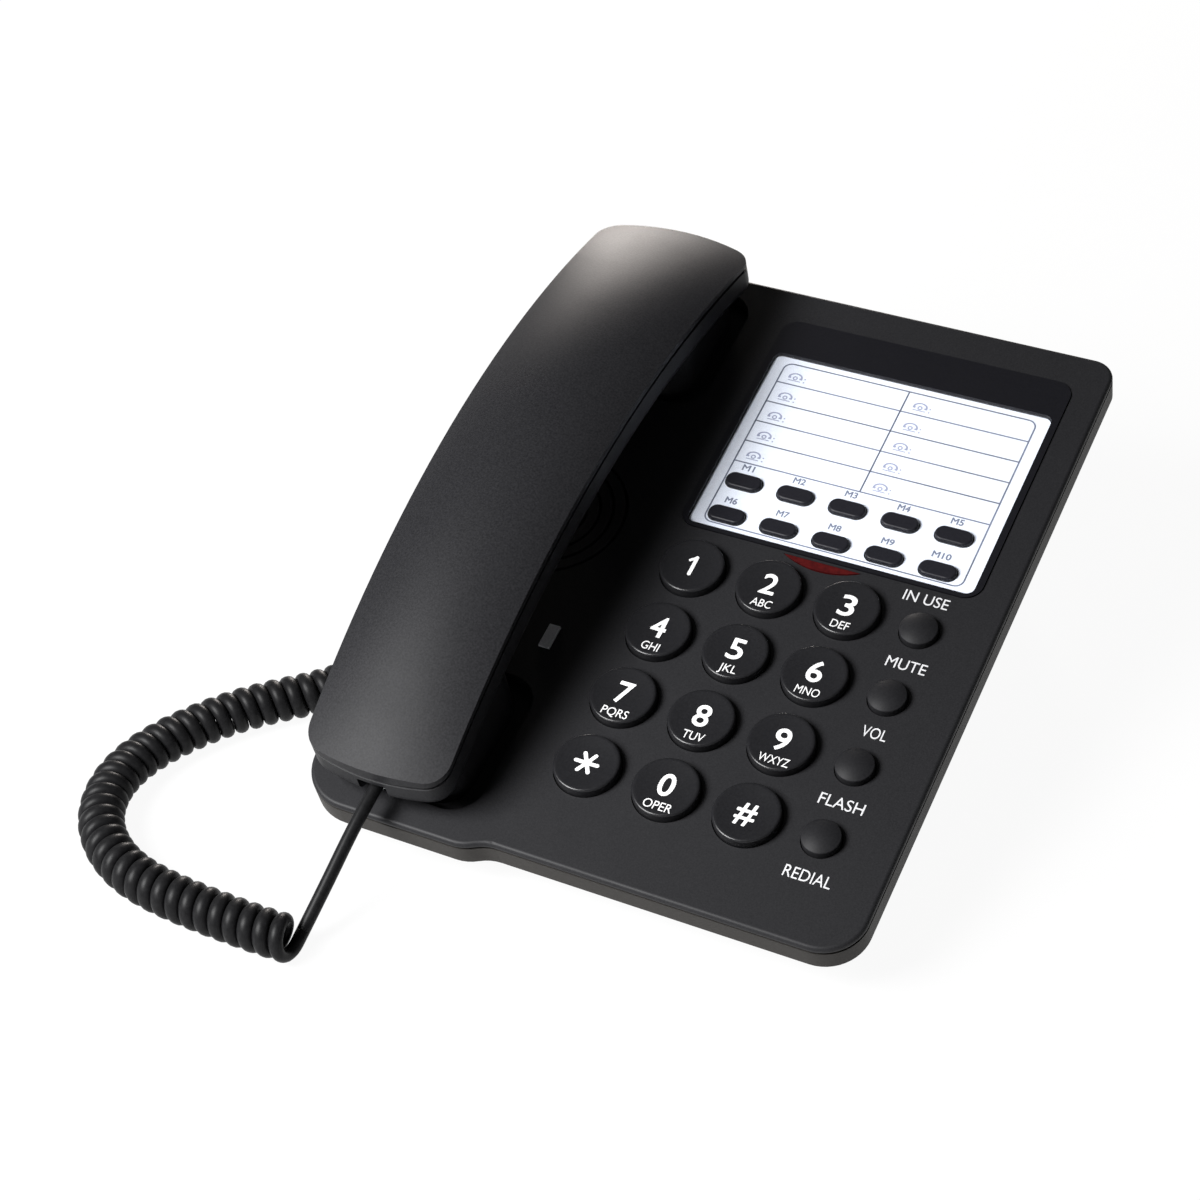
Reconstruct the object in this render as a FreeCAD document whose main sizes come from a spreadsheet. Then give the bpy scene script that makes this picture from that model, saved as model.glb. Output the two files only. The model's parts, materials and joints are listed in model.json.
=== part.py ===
import FreeCAD, Part
import math
import operator
import os

import Sketcher
from FreeCAD import Placement, Rotation, Vector

# Corded desk telephone: sloping base with keypad and name card, arched handset, curly cord.
# Millimetres and degrees. Deck coordinates: x right, y to the back along the deck, z out of the deck.

DRIVING_DIMENSIONS = (
    ("base_width", 153, "deck, left edge to right edge"),
    ("base_depth", 200, "deck, front of the cradle side to the back edge"),
    ("deck_tilt", 16, "slope of the deck above the table, degrees"),
    ("front_height", 16, "front edge of the deck above the table"),
    ("front_step", 3, "how far the keypad's front edge stands behind the cradle's"),
    ("step_place", -18.5, "where the front edge starts to step, from the middle of the deck"),
    ("step_radius", 11.2, "radius of both bends of the step"),
    ("back_corner", 6.5, "plan radius of the back corners"),
    ("front_corner", 11.5, "plan radius of the right front corner"),
    ("cradle_corner", 14, "plan radius of the left front corner"),
    ("deck_lip", 1.4, "height of the deck's outer edge"),
    ("deck_rounding", 1.1, "rounding of the deck's outer edge"),
    ("shadow_gap", 0.8, "height and depth of the groove between the housings"),
    ("rim_height", 5.8, "height of the lower housing's rim"),
    ("shell_wall", 2, "wall of both housings"),
    ("tongue_wall", 1.4, "tongue of the deck inside the rim"),
    ("tub_inset", 6, "tub's top edge inside the rim"),
    ("tub_draft", 20, "lean of the tub's walls, degrees"),
    ("tub_corner", 9, "radius of the tub's upright corners"),
    ("foot_height", 1.6, "feet below the tub's floor"),
    ("foot_diameter", 12, "rubber foot"),
    ("foot_front", 74, "front feet ahead of the middle"),
    ("foot_back", 76, "back feet behind the middle"),
    ("foot_front_side", 56, "front feet beside the middle"),
    ("foot_back_side", 40, "back feet beside the middle"),
    ("weight_width", 72, "steel weight"),
    ("weight_depth", 85, "steel weight"),
    ("weight_thickness", 3, "steel weight"),
    ("fit_gap", 0.3, "clearance round what moves or is let in"),
    ("key_pitch", 22, "dial keys, both ways"),
    ("keypad_x", 15.6, "middle column of the dial keys"),
    ("keypad_y", -35.1, "midway between the second and third row"),
    ("key_diameter", 17.5, "dial key"),
    ("key_height", 2.6, "dial key's rim above the deck"),
    ("key_rounding", 0.7, "rim of a dial key"),
    ("key_dish", 0.5, "depth of the hollow in a dial key"),
    ("dish_diameter", 15.4, "the same hollow"),
    ("key_travel", 1.5, "stroke of every key"),
    ("flange_width", 0.9, "flange that keeps a key under the deck"),
    ("flange_thickness", 1.2, "the same flange"),
    ("function_x", 57.3, "column of the function keys"),
    ("function_diameter", 10.1, "function key"),
    ("function_edge", 1.8, "function key's edge above the deck"),
    ("function_crown", 3, "function key's crown above the deck"),
    ("card_x", 25.35, "middle of the name card"),
    ("card_y", 44.8, "middle of the name card"),
    ("card_width", 81.1, "name card"),
    ("card_height", 63.2, "name card"),
    ("card_corner", 2.2, "corner radius of the card"),
    ("card_thickness", 0.3, "name card"),
    ("window_thickness", 0.5, "clear sheet over the card"),
    ("bezel_side", 2.2, "bezel beside the card"),
    ("bezel_front", 1.6, "bezel before the card"),
    ("bezel_top", 12.8, "bezel behind the card"),
    ("bezel_corner", 5, "corner radius of the bezel"),
    ("bezel_proud", 0.4, "bezel above the deck"),
    ("recess_depth", 1.2, "recess in the deck that takes the bezel"),
    ("memory_x", 24.5, "middle column of the memory keys"),
    ("memory_pitch", 15.07, "memory keys along a row"),
    ("memory_rows", 11.9, "between the two rows of memory keys"),
    ("memory_y", 18.5, "front row of memory keys"),
    ("memory_length", 10.4, "memory key"),
    ("memory_width", 4.9, "memory key"),
    ("memory_height", 0.3, "memory key above the deck"),
    ("memory_rounding", 0.6, "top edge of a memory key"),
    ("lens_chord", 21.4, "red lens along the bezel"),
    ("lens_bulge", 2.5, "red lens towards the keys"),
    ("lens_proud", 0.3, "red lens above the deck"),
    ("lamp_diameter", 3, "lamp behind the lens"),
    ("mat_depth", 9, "top of the mat's sheet below the deck"),
    ("mat_thickness", 1, "sheet of the mat"),
    ("board_thickness", 1.6, "circuit board"),
    ("board_margin", 9, "board beyond the outer keys"),
    ("dome_lean", 8, "lean of the mat's domes, degrees"),
    ("dial_dome", 12, "dome of the mat under a dial key"),
    ("function_dome", 7.2, "dome of the mat under a function key"),
    ("chip_height", 1.6, "chips under the board"),
    ("grille_y", 4.7, "middle of the ringer grille"),
    ("grille_ring", 6.3, "radius of the first slot of the grille"),
    ("grille_pitch", 3.65, "from slot to slot"),
    ("grille_slot", 0.9, "width of a slot"),
    ("grille_rings", 5, "number of slots"),
    ("grille_bar", 2, "cross bars that carry the rings, width and depth"),
    ("speaker_diameter", 38, "ringer speaker"),
    ("speaker_depth", 12, "ringer speaker"),
    ("speaker_flange", 1.5, "flange of the ringer speaker"),
    ("handset_x", -52, "middle of the handset"),
    ("handset_y", 1, "middle of the handset"),
    ("handset_length", 195, "handset, end to end"),
    ("ear_width", 46.5, "handset at the ear end"),
    ("mouth_width", 40.5, "handset at the mouth end"),
    ("handset_corner", 7, "plan radius of the handset's corners"),
    ("end_radius", 70, "plan radius of the handset's ends"),
    ("arch_rise", 18, "rise of the handset's parting line"),
    ("arch_foot", 13, "parting line above the deck at the ends"),
    ("crown_rise", 6.6, "crown above the parting line at the middle"),
    ("crown_edge", 1.2, "edge of the upper shell all round"),
    ("crown_end", 2, "crown at the two ends"),
    ("handset_groove", 0.9, "height and depth of the groove between the shells"),
    ("grip_depth", 9, "lower shell below the parting line"),
    ("grip_rounding", 3, "lower edges of the grip"),
    ("cup_width", 37, "ear and mouth cup"),
    ("cup_length", 39, "ear and mouth cup"),
    ("cup_corner", 9, "corner radius of the cups"),
    ("cup_inset", 7, "cup inside the handset's end"),
    ("cup_rounding", 2, "lower edge of a cup"),
    ("sound_ring", 6, "radius of the ring of sound holes"),
    ("sound_hole", 2, "sound hole"),
    ("handset_screw_y", 32, "handset's screws from its middle"),
    ("handset_wall", 2, "wall of the handset's shells"),
    ("handset_boss", 5, "screw boss in the upper shell"),
    ("grip_bar", 48, "length of the steel bar in the grip"),
    ("well_depth", 4.2, "cradle wells below the deck"),
    ("well_gap", 2.2, "well round a cup"),
    ("well_floor", 1.5, "floor of a well"),
    ("well_inner", 3, "inner side of the wells beyond that gap, towards the keys"),
    ("receiver_diameter", 30, "receiver capsule"),
    ("receiver_depth", 7, "receiver capsule"),
    ("microphone_diameter", 9.8, "microphone capsule"),
    ("microphone_depth", 6, "microphone capsule"),
    ("microphone_back", 8, "microphone behind the middle of the mouth cup"),
    ("plunger_width", 6, "hook plunger"),
    ("plunger_lift", 5, "rise of the hook plunger"),
    ("plunger_stem", 3, "hook plunger inside the switch"),
    ("plunger_back", 9, "hook plunger behind the middle of the ear cup"),
    ("switch_depth", 8, "hook switch under its flange"),
    ("switch_flange", 25, "length of the hook switch's flange"),
    ("switch_post", 9.5, "hook switch's posts beside the plunger"),
    ("post_diameter", 4, "posts that carry the board and the hook switch"),
    ("tab_x", -33.7, "grey insert beside the cradle"),
    ("tab_y", -34.2, "grey insert beside the cradle"),
    ("tab_width", 3.5, "grey insert"),
    ("tab_length", 7.6, "grey insert"),
    ("tab_proud", 0.5, "grey insert above the deck"),
    ("plug_width", 7.7, "four-way plug"),
    ("plug_height", 6.4, "four-way plug"),
    ("plug_length", 11.5, "four-way plug"),
    ("plug_out", 3, "plug outside its socket in the base"),
    ("plug_hole_z", 7.2, "plug in the handset's end above the deck"),
    ("plug_sunk", 4, "plug inside the handset's end"),
    ("collar_diameter", 4.8, "collar where the cord enters a plug"),
    ("collar_length", 1.5, "the same collar"),
    ("jack_wall", 1.3, "wall of a socket"),
    ("jack_y", -38, "handset socket along the left wall"),
    ("jack_height", 11.5, "middle of the handset socket above the table"),
    ("line_width", 9.8, "six-way socket's opening"),
    ("line_height", 6.8, "six-way socket's opening"),
    ("line_depth", 13, "six-way socket"),
    ("latch_width", 5.9, "gap for the latch of a six-way plug"),
    ("line_x", 20, "six-way socket along the back wall"),
    ("line_up", 28, "middle of the six-way socket above the table"),
    ("screw_side", 44, "back pair of housing screws, left and right of the middle"),
    ("screw_back", 40, "back pair of housing screws behind the middle"),
    ("screw_front", 86, "front pair of housing screws ahead of the middle"),
    ("screw_left", -16, "left front housing screw"),
    ("screw_right", 54, "right front housing screw"),
    ("boss_diameter", 7, "screw boss under the deck"),
    ("boss_length", 5.5, "screw boss under the deck"),
    ("tower_diameter", 9, "screw tower on the floor"),
    ("screw_shank", 2.5, "screw"),
    ("screw_head", 5.4, "screw head"),
    ("screw_head_height", 2, "screw head"),
    ("screw_length", 9, "screw under its head"),
    ("board_screw", 7, "board's screws under their heads"),
    ("board_screw_head", 4.3, "head of a board's screw"),
    ("board_pilot", 2, "hole for a board's screw"),
    ("cord_diameter", 3.2, "cord"),
    ("coil_diameter", 12, "curls, outside"),
    ("curl_pitch", 4.3, "from curl to curl along the coil, nearly"),
    ("cord_lead", 4, "straight cord at the plugs"),
)

doc = FreeCAD.newDocument("desk_telephone")
sheet = doc.addObject("Spreadsheet::Sheet", "dimensions")
for row, (alias, number, note) in enumerate(DRIVING_DIMENSIONS, start=1):
    sheet.set("A%d" % row, alias)
    sheet.set("B%d" % row, str(number))
    sheet.setAlias("B%d" % row, alias)
    sheet.set("C%d" % row, note)
doc.recompute()


# A size carries its number and the sheet formula that gives it, through sums and products.
class Size:
    def __init__(self, number, formula):
        self.number = number
        self.formula = formula

    def joined(self, sign, work, other, swapped=False):
        other = as_size(other)
        first, second = (other, self) if swapped else (self, other)
        formula = "(%s %s %s)" % (first.formula, sign, second.formula)
        return Size(work(first.number, second.number), formula)

    def __add__(self, other):
        return self.joined("+", operator.add, other)

    def __radd__(self, other):
        return self.joined("+", operator.add, other, swapped=True)

    def __sub__(self, other):
        return self.joined("-", operator.sub, other)

    def __rsub__(self, other):
        return self.joined("-", operator.sub, other, swapped=True)

    def __mul__(self, other):
        return self.joined("*", operator.mul, other)

    def __rmul__(self, other):
        return self.joined("*", operator.mul, other, swapped=True)

    def __truediv__(self, other):
        return self.joined("/", operator.truediv, other)

    def __neg__(self):
        return 0 - self

    def __float__(self):
        return float(self.number)


def as_size(number):
    return number if isinstance(number, Size) else Size(float(number), repr(float(number)))


def trig(name, angle):
    number = getattr(math, name)(math.radians(float(angle)))
    return Size(number, "%s(%s * 1 deg)" % (name, angle.formula))


def root(square):
    return Size(math.sqrt(float(square)), "sqrt(%s)" % square.formula)


class Dimensions:
    def __getattr__(self, alias):
        return Size(float(sheet.get(alias)), "dimensions." + alias)


dim = Dimensions()


def bind(feature, field, size):
    setattr(feature, field, float(size))
    feature.setExpression(field, as_size(size).formula)


# Sketches

def new_body(name):
    body = doc.addObject("PartDesign::Body", name)
    body.Label = name
    return body


def origin_feature(body, role):
    return [item for item in body.Origin.OriginFeatures if item.Role == role][0]


def new_sketch(body, name, plane="XY_Plane", height=0):
    sketch = body.newObject("Sketcher::SketchObject", body.Label + "_" + name)
    sketch.AttachmentSupport = [(origin_feature(body, plane), "")]
    sketch.MapMode = "FlatFace"
    sketch.AttachmentOffset = Placement(Vector(0, 0, float(height)), Rotation())
    sketch.setExpression("AttachmentOffset.Base.z", as_size(height).formula)
    return sketch


def hold(sketch, kind, *where):
    *points, size = where
    index = sketch.addConstraint(Sketcher.Constraint(kind, *points, float(size)))
    sketch.setExpression("Constraints[%d]" % index, as_size(size).formula)


def hold_point(sketch, shape, point, x, y):
    hold(sketch, "DistanceX", -1, 1, shape, point, x)
    hold(sketch, "DistanceY", -1, 1, shape, point, y)


def flat(point):
    return Vector(float(point[0]), float(point[1]), 0)


def arc_between(centre, start, end, leftward):
    radius = (flat(start) - flat(centre)).Length
    spokes = [flat(point) - flat(centre) for point in (start, end)]
    angles = [math.atan2(spoke.y, spoke.x) for spoke in spokes]
    if not leftward:
        angles.reverse()
    ring = Part.Circle(flat(centre), Vector(0, 0, 1), radius)
    return Part.ArcOfCircle(ring, *angles)


# A closed line through corners. A numbered side may be an arc: (centre, radius, turns_left).
def profile(sketch, corners, arcs=None):
    arcs = arcs or {}
    sides = []
    for number, (start, end) in enumerate(zip(corners, corners[1:] + corners[:1])):
        if number in arcs:
            centre, radius, leftward = arcs[number]
            side = sketch.addGeometry(arc_between(centre, start, end, leftward), False)
            first, last = (1, 2) if leftward else (2, 1)
        else:
            side = sketch.addGeometry(Part.LineSegment(flat(start), flat(end)), False)
            first, last = 1, 2
        hold_point(sketch, side, first, *start)
        sides.append((side, first, last))
    for (side, first, last), (follower, begin, finish) in zip(sides, sides[1:] + sides[:1]):
        sketch.addConstraint(Sketcher.Constraint("Coincident", side, last, follower, begin))
    for number, (centre, radius, leftward) in arcs.items():
        hold(sketch, "Radius", sides[number][0], radius)


def rectangle(sketch, left, front, right, back):
    profile(sketch, [(left, front), (right, front), (right, back), (left, back)])


def circle(sketch, x, y, diameter):
    shape = sketch.addGeometry(Part.Circle(flat((x, y)), Vector(0, 0, 1), float(diameter) / 2), False)
    hold_point(sketch, shape, 3, x, y)
    hold(sketch, "Diameter", shape, diameter)


# A closed line of straight pieces and arcs, each tangent to the next.
# A piece is (start, end) or (start, end, centre, turns_left).
def smooth_loop(sketch, pieces):
    shapes = []
    for piece in pieces:
        if len(piece) == 2:
            shape = sketch.addGeometry(Part.LineSegment(flat(piece[0]), flat(piece[1])), False)
            shapes.append((shape, 1, 2))
        else:
            start, end, centre, leftward = piece
            shape = sketch.addGeometry(arc_between(centre, start, end, leftward), False)
            shapes.append((shape, 1, 2) if leftward else (shape, 2, 1))
    for (shape, first, last), (follower, begin, finish) in zip(shapes, shapes[1:] + shapes[:1]):
        sketch.addConstraint(Sketcher.Constraint("Tangent", shape, last, follower, begin))
    return [shape for shape, first, last in shapes]


def rounded_rectangle(sketch, left, front, right, back, radius):
    x0, y0, x1, y1, r = (float(size) for size in (left, front, right, back, radius))
    shapes = smooth_loop(sketch, [
        ((x0 + r, y0), (x1 - r, y0)),
        ((x1 - r, y0), (x1, y0 + r), (x1 - r, y0 + r), True),
        ((x1, y0 + r), (x1, y1 - r)),
        ((x1, y1 - r), (x1 - r, y1), (x1 - r, y1 - r), True),
        ((x1 - r, y1), (x0 + r, y1)),
        ((x0 + r, y1), (x0, y1 - r), (x0 + r, y1 - r), True),
        ((x0, y1 - r), (x0, y0 + r)),
        ((x0, y0 + r), (x0 + r, y0), (x0 + r, y0 + r), True),
    ])
    hold_point(sketch, shapes[1], 3, right - radius, front + radius)
    hold_point(sketch, shapes[5], 3, left + radius, back - radius)
    for line in (shapes[0], shapes[4]):
        sketch.addConstraint(Sketcher.Constraint("Horizontal", line))
    for line in (shapes[2], shapes[6]):
        sketch.addConstraint(Sketcher.Constraint("Vertical", line))
    for arc in shapes[3::2]:
        sketch.addConstraint(Sketcher.Constraint("Equal", shapes[1], arc))
    hold(sketch, "Radius", shapes[1], radius)


def oval(sketch, x, y, length, width):
    reach = (length - width) / 2
    x0, y0, out, r = float(x), float(y), float(reach), float(width) / 2
    shapes = smooth_loop(sketch, [
        ((x0 - out, y0 - r), (x0 + out, y0 - r)),
        ((x0 + out, y0 - r), (x0 + out, y0 + r), (x0 + out, y0), True),
        ((x0 + out, y0 + r), (x0 - out, y0 + r)),
        ((x0 - out, y0 + r), (x0 - out, y0 - r), (x0 - out, y0), True),
    ])
    hold_point(sketch, shapes[1], 3, x + reach, y)
    hold_point(sketch, shapes[3], 3, x - reach, y)
    hold(sketch, "Radius", shapes[1], width / 2)
    sketch.addConstraint(Sketcher.Constraint("Equal", shapes[1], shapes[3]))


# Solid features

def pad(body, name, sketch, length, down=False, symmetric=False, taper=None):
    feature = body.newObject("PartDesign::Pad", body.Label + "_" + name)
    feature.Profile = sketch
    bind(feature, "Length", length)
    feature.Reversed = down
    if symmetric:
        feature.SideType = "Symmetric"
    if taper is not None:
        bind(feature, "TaperAngle", taper)
    doc.recompute()
    return feature


def pocket(body, name, sketch, depth, up=False, symmetric=False):
    before = body.Shape.Volume
    feature = body.newObject("PartDesign::Pocket", body.Label + "_" + name)
    feature.Profile = sketch
    bind(feature, "Length", depth)
    feature.Reversed = up
    if symmetric:
        feature.SideType = "Symmetric"
    doc.recompute()
    if body.Shape.Volume >= before - 1e-6:
        raise RuntimeError(feature.Label + " cuts nothing")
    return feature


def revolve(body, name, sketch, angle=360):
    feature = body.newObject("PartDesign::Revolution", body.Label + "_" + name)
    feature.Profile = sketch
    feature.ReferenceAxis = (sketch, ["V_Axis"])
    feature.Angle = angle
    doc.recompute()
    return feature


def edges_where(shape, test):
    return ["Edge%d" % number for number, edge in enumerate(shape.Edges, start=1) if test(edge)]


def fillet(body, name, test, radius):
    base = body.Tip
    feature = body.newObject("PartDesign::Fillet", body.Label + "_" + name)
    feature.Base = (base, edges_where(base.Shape, test))
    bind(feature, "Radius", radius)
    doc.recompute()
    return feature


def lies_at_height(edge, height):
    box = edge.BoundBox
    return abs(box.ZMin - float(height)) < 1e-4 and abs(box.ZMax - float(height)) < 1e-4


# Shared places, all from the sheet

deck_wall = dim.deck_lip + dim.shadow_gap
rim_top = -deck_wall
rim_bottom = rim_top - dim.rim_height
half_width = dim.base_width / 2
half_depth = dim.base_depth / 2
ear_y = dim.handset_y + dim.handset_length / 2 - dim.cup_inset - dim.cup_length / 2
mouth_y = dim.handset_y - dim.handset_length / 2 + dim.cup_inset + dim.cup_length / 2
key_rows = [dim.keypad_y + dim.key_pitch * (1.5 - row) for row in range(4)]
key_columns = [dim.keypad_x + dim.key_pitch * (column - 1) for column in range(3)]
memory_places = [
    (dim.memory_x + dim.memory_pitch * (column - 2), dim.memory_y + dim.memory_rows * (1 - row))
    for row in range(2)
    for column in range(5)
]
bezel_box = (
    dim.card_x - dim.card_width / 2 - dim.bezel_side,
    dim.card_y - dim.card_height / 2 - dim.bezel_front,
    dim.card_x + dim.card_width / 2 + dim.bezel_side,
    dim.card_y + dim.card_height / 2 + dim.bezel_top,
)
screw_places = [
    (-dim.screw_side, dim.screw_back),
    (dim.screw_side, dim.screw_back),
    (dim.screw_left, -dim.screw_front),
    (dim.screw_right, -dim.screw_front),
]

deck_middle = dim.front_height + half_depth * trig("sin", dim.deck_tilt)
tub_reach = dim.base_depth * trig("tan", dim.deck_tilt) + dim.front_height
pilot_diameter = dim.screw_shank + dim.fit_gap / 2
board_top = -dim.mat_depth - dim.mat_thickness
board_posts = [
    (dim.keypad_x + dim.key_pitch * across / 2, dim.keypad_y + dim.key_pitch * along)
    for across in (-1, 1)
    for along in (-1, 1)
]
plunger_y = ear_y + dim.plunger_back
switch_top = -dim.well_depth - dim.well_floor - dim.plunger_lift - dim.flange_thickness - dim.fit_gap
switch_posts = [(dim.handset_x + dim.switch_post * side, plunger_y) for side in (-1, 1)]
lens_back = bezel_box[1] - dim.shell_wall / 2
tab_box = (
    dim.tab_x - dim.tab_width / 2,
    dim.tab_y - dim.tab_length / 2,
    dim.tab_x + dim.tab_width / 2,
    dim.tab_y + dim.tab_length / 2,
)
key_foot = rim_top - dim.flange_thickness
board_bottom = board_top - dim.board_thickness
slip_gap = dim.fit_gap / 2
lamp_y = lens_back - dim.lens_bulge / 2
tower_top = rim_top - dim.boss_length
screw_seat = tower_top - 2 * dim.shell_wall
jack_rise = dim.jack_height - deck_middle - dim.jack_y * trig("sin", dim.deck_tilt)
jack_z = jack_rise / trig("cos", dim.deck_tilt)
jack_block = (
    dim.jack_y - dim.plug_width / 2 - dim.jack_wall,
    jack_z - dim.plug_height / 2 - dim.jack_wall,
    dim.jack_y + dim.plug_width / 2 + dim.jack_wall,
    jack_z + dim.plug_height / 2 + dim.jack_wall,
)
jack_face = half_width - dim.tub_inset - (rim_bottom - jack_z) * trig("tan", dim.tub_draft) + dim.jack_wall
line_side = dim.line_width / 2 + dim.jack_wall
line_tall = dim.line_height / 2 + dim.jack_wall

# The deck stands on the table at its slope, with the origin under the middle of the whole outline.
tilt = math.radians(float(dim.deck_tilt))
lip_front = (
    -(float(half_depth) - float(dim.deck_rounding)) * math.cos(tilt)
    + float(dim.deck_rounding) * math.sin(tilt)
    - float(dim.deck_rounding)
)
handset_top_end = float(dim.arch_foot + dim.crown_edge + dim.crown_end)
handset_front = (
    float(dim.handset_y - dim.handset_length / 2) * math.cos(tilt) - handset_top_end * math.sin(tilt)
)
outline_front = min(lip_front, handset_front)
rim_back = float(half_depth) * math.cos(tilt) - float(rim_bottom) * math.sin(tilt)
deck_shift = -(outline_front + rim_back) / 2
deck_frame = Placement(
    Vector(0, deck_shift, float(deck_middle)),
    Rotation(Vector(1, 0, 0), float(dim.deck_tilt)),
)

# The six-way socket lies level. Its face stands a socket wall out of the tub's leaning back wall.
wall_lean = trig("tan", dim.tub_draft)
wall_top = half_depth - dim.tub_inset - rim_bottom * wall_lean
line_z = (dim.line_up - deck_middle - wall_top * trig("sin", dim.deck_tilt)) / (
    trig("cos", dim.deck_tilt) + wall_lean * trig("sin", dim.deck_tilt))
line_face = (
    (wall_top + line_z * wall_lean) * trig("cos", dim.deck_tilt)
    - line_z * trig("sin", dim.deck_tilt) + deck_shift + dim.jack_wall
)


# A point beside the table's middle and above the table, as y and z of the deck's own frame.
def from_table(y, z):
    back, up = y - deck_shift, z - deck_middle
    sine, cosine = trig("sin", dim.deck_tilt), trig("cos", dim.deck_tilt)
    return back * cosine + up * sine, up * cosine - back * sine


def on_deck(x=0, y=0, z=0):
    return deck_frame.multiply(Placement(Vector(float(x), float(y), float(z)), Rotation()))


# Outline of the deck, drawn in by an even inset. Its front edge steps back beside the cradle.
def deck_outline(sketch, inset=0):
    inset = as_size(inset)
    right = half_width - inset
    back = half_depth - inset
    cradle_front = inset - half_depth
    keypad_front = cradle_front + dim.front_step
    back_radius = dim.back_corner - inset
    front_radius = dim.front_corner - inset
    cradle_radius = dim.cradle_corner - inset
    hollow_radius = dim.step_radius + inset
    round_radius = dim.step_radius - inset
    reach = root(dim.front_step * (4 * dim.step_radius - dim.front_step))
    x1, y0, y1, y2 = (float(size) for size in (right, cradle_front, keypad_front, back))
    rb, rf, rc = (float(size) for size in (back_radius, front_radius, cradle_radius))
    hollow = Vector(float(dim.step_place), y1 - float(hollow_radius), 0)
    swell = Vector(float(dim.step_place - reach), y0 + float(round_radius), 0)
    meeting = swell + (hollow - swell) * (float(round_radius) / float(2 * dim.step_radius))
    shapes = smooth_loop(sketch, [
        ((-x1 + rc, y0), (swell.x, y0)),
        ((swell.x, y0), meeting, swell, True),
        (meeting, (hollow.x, y1), hollow, False),
        ((hollow.x, y1), (x1 - rf, y1)),
        ((x1 - rf, y1), (x1, y1 + rf), (x1 - rf, y1 + rf), True),
        ((x1, y1 + rf), (x1, y2 - rb)),
        ((x1, y2 - rb), (x1 - rb, y2), (x1 - rb, y2 - rb), True),
        ((x1 - rb, y2), (-x1 + rb, y2)),
        ((-x1 + rb, y2), (-x1, y2 - rb), (-x1 + rb, y2 - rb), True),
        ((-x1, y2 - rb), (-x1, y0 + rc)),
        ((-x1, y0 + rc), (-x1 + rc, y0), (-x1 + rc, y0 + rc), True),
    ])
    for line in (shapes[0], shapes[3], shapes[7]):
        sketch.addConstraint(Sketcher.Constraint("Horizontal", line))
    for line in (shapes[5], shapes[9]):
        sketch.addConstraint(Sketcher.Constraint("Vertical", line))
    hold_point(sketch, shapes[10], 3, cradle_radius - right, cradle_front + cradle_radius)
    hold_point(sketch, shapes[6], 3, right - back_radius, back - back_radius)
    hold(sketch, "DistanceY", -1, 1, shapes[4], 3, keypad_front + front_radius)
    hold(sketch, "DistanceX", -1, 1, shapes[2], 3, dim.step_place)
    radii = {1: round_radius, 2: hollow_radius, 4: front_radius, 6: back_radius, 8: back_radius}
    radii[10] = cradle_radius
    for place, radius in radii.items():
        hold(sketch, "Radius", shapes[place], radius)


def well_box(centre_y, extra=0):
    gap = dim.well_gap + extra
    side = dim.cup_width / 2 + gap
    end = dim.cup_length / 2 + gap
    return dim.handset_x - side, centre_y - end, dim.handset_x + side + dim.well_inner, centre_y + end


# Crescent: a chord along x with an arc bulging to the front.
def crescent(sketch, x, y, chord, bulge):
    radius = (chord * chord / 4 + bulge * bulge) / (2 * bulge)
    ends = [(x - chord / 2, y), (x + chord / 2, y)]
    profile(sketch, ends, arcs={0: ((x, y - bulge + radius), radius, True)})


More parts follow.
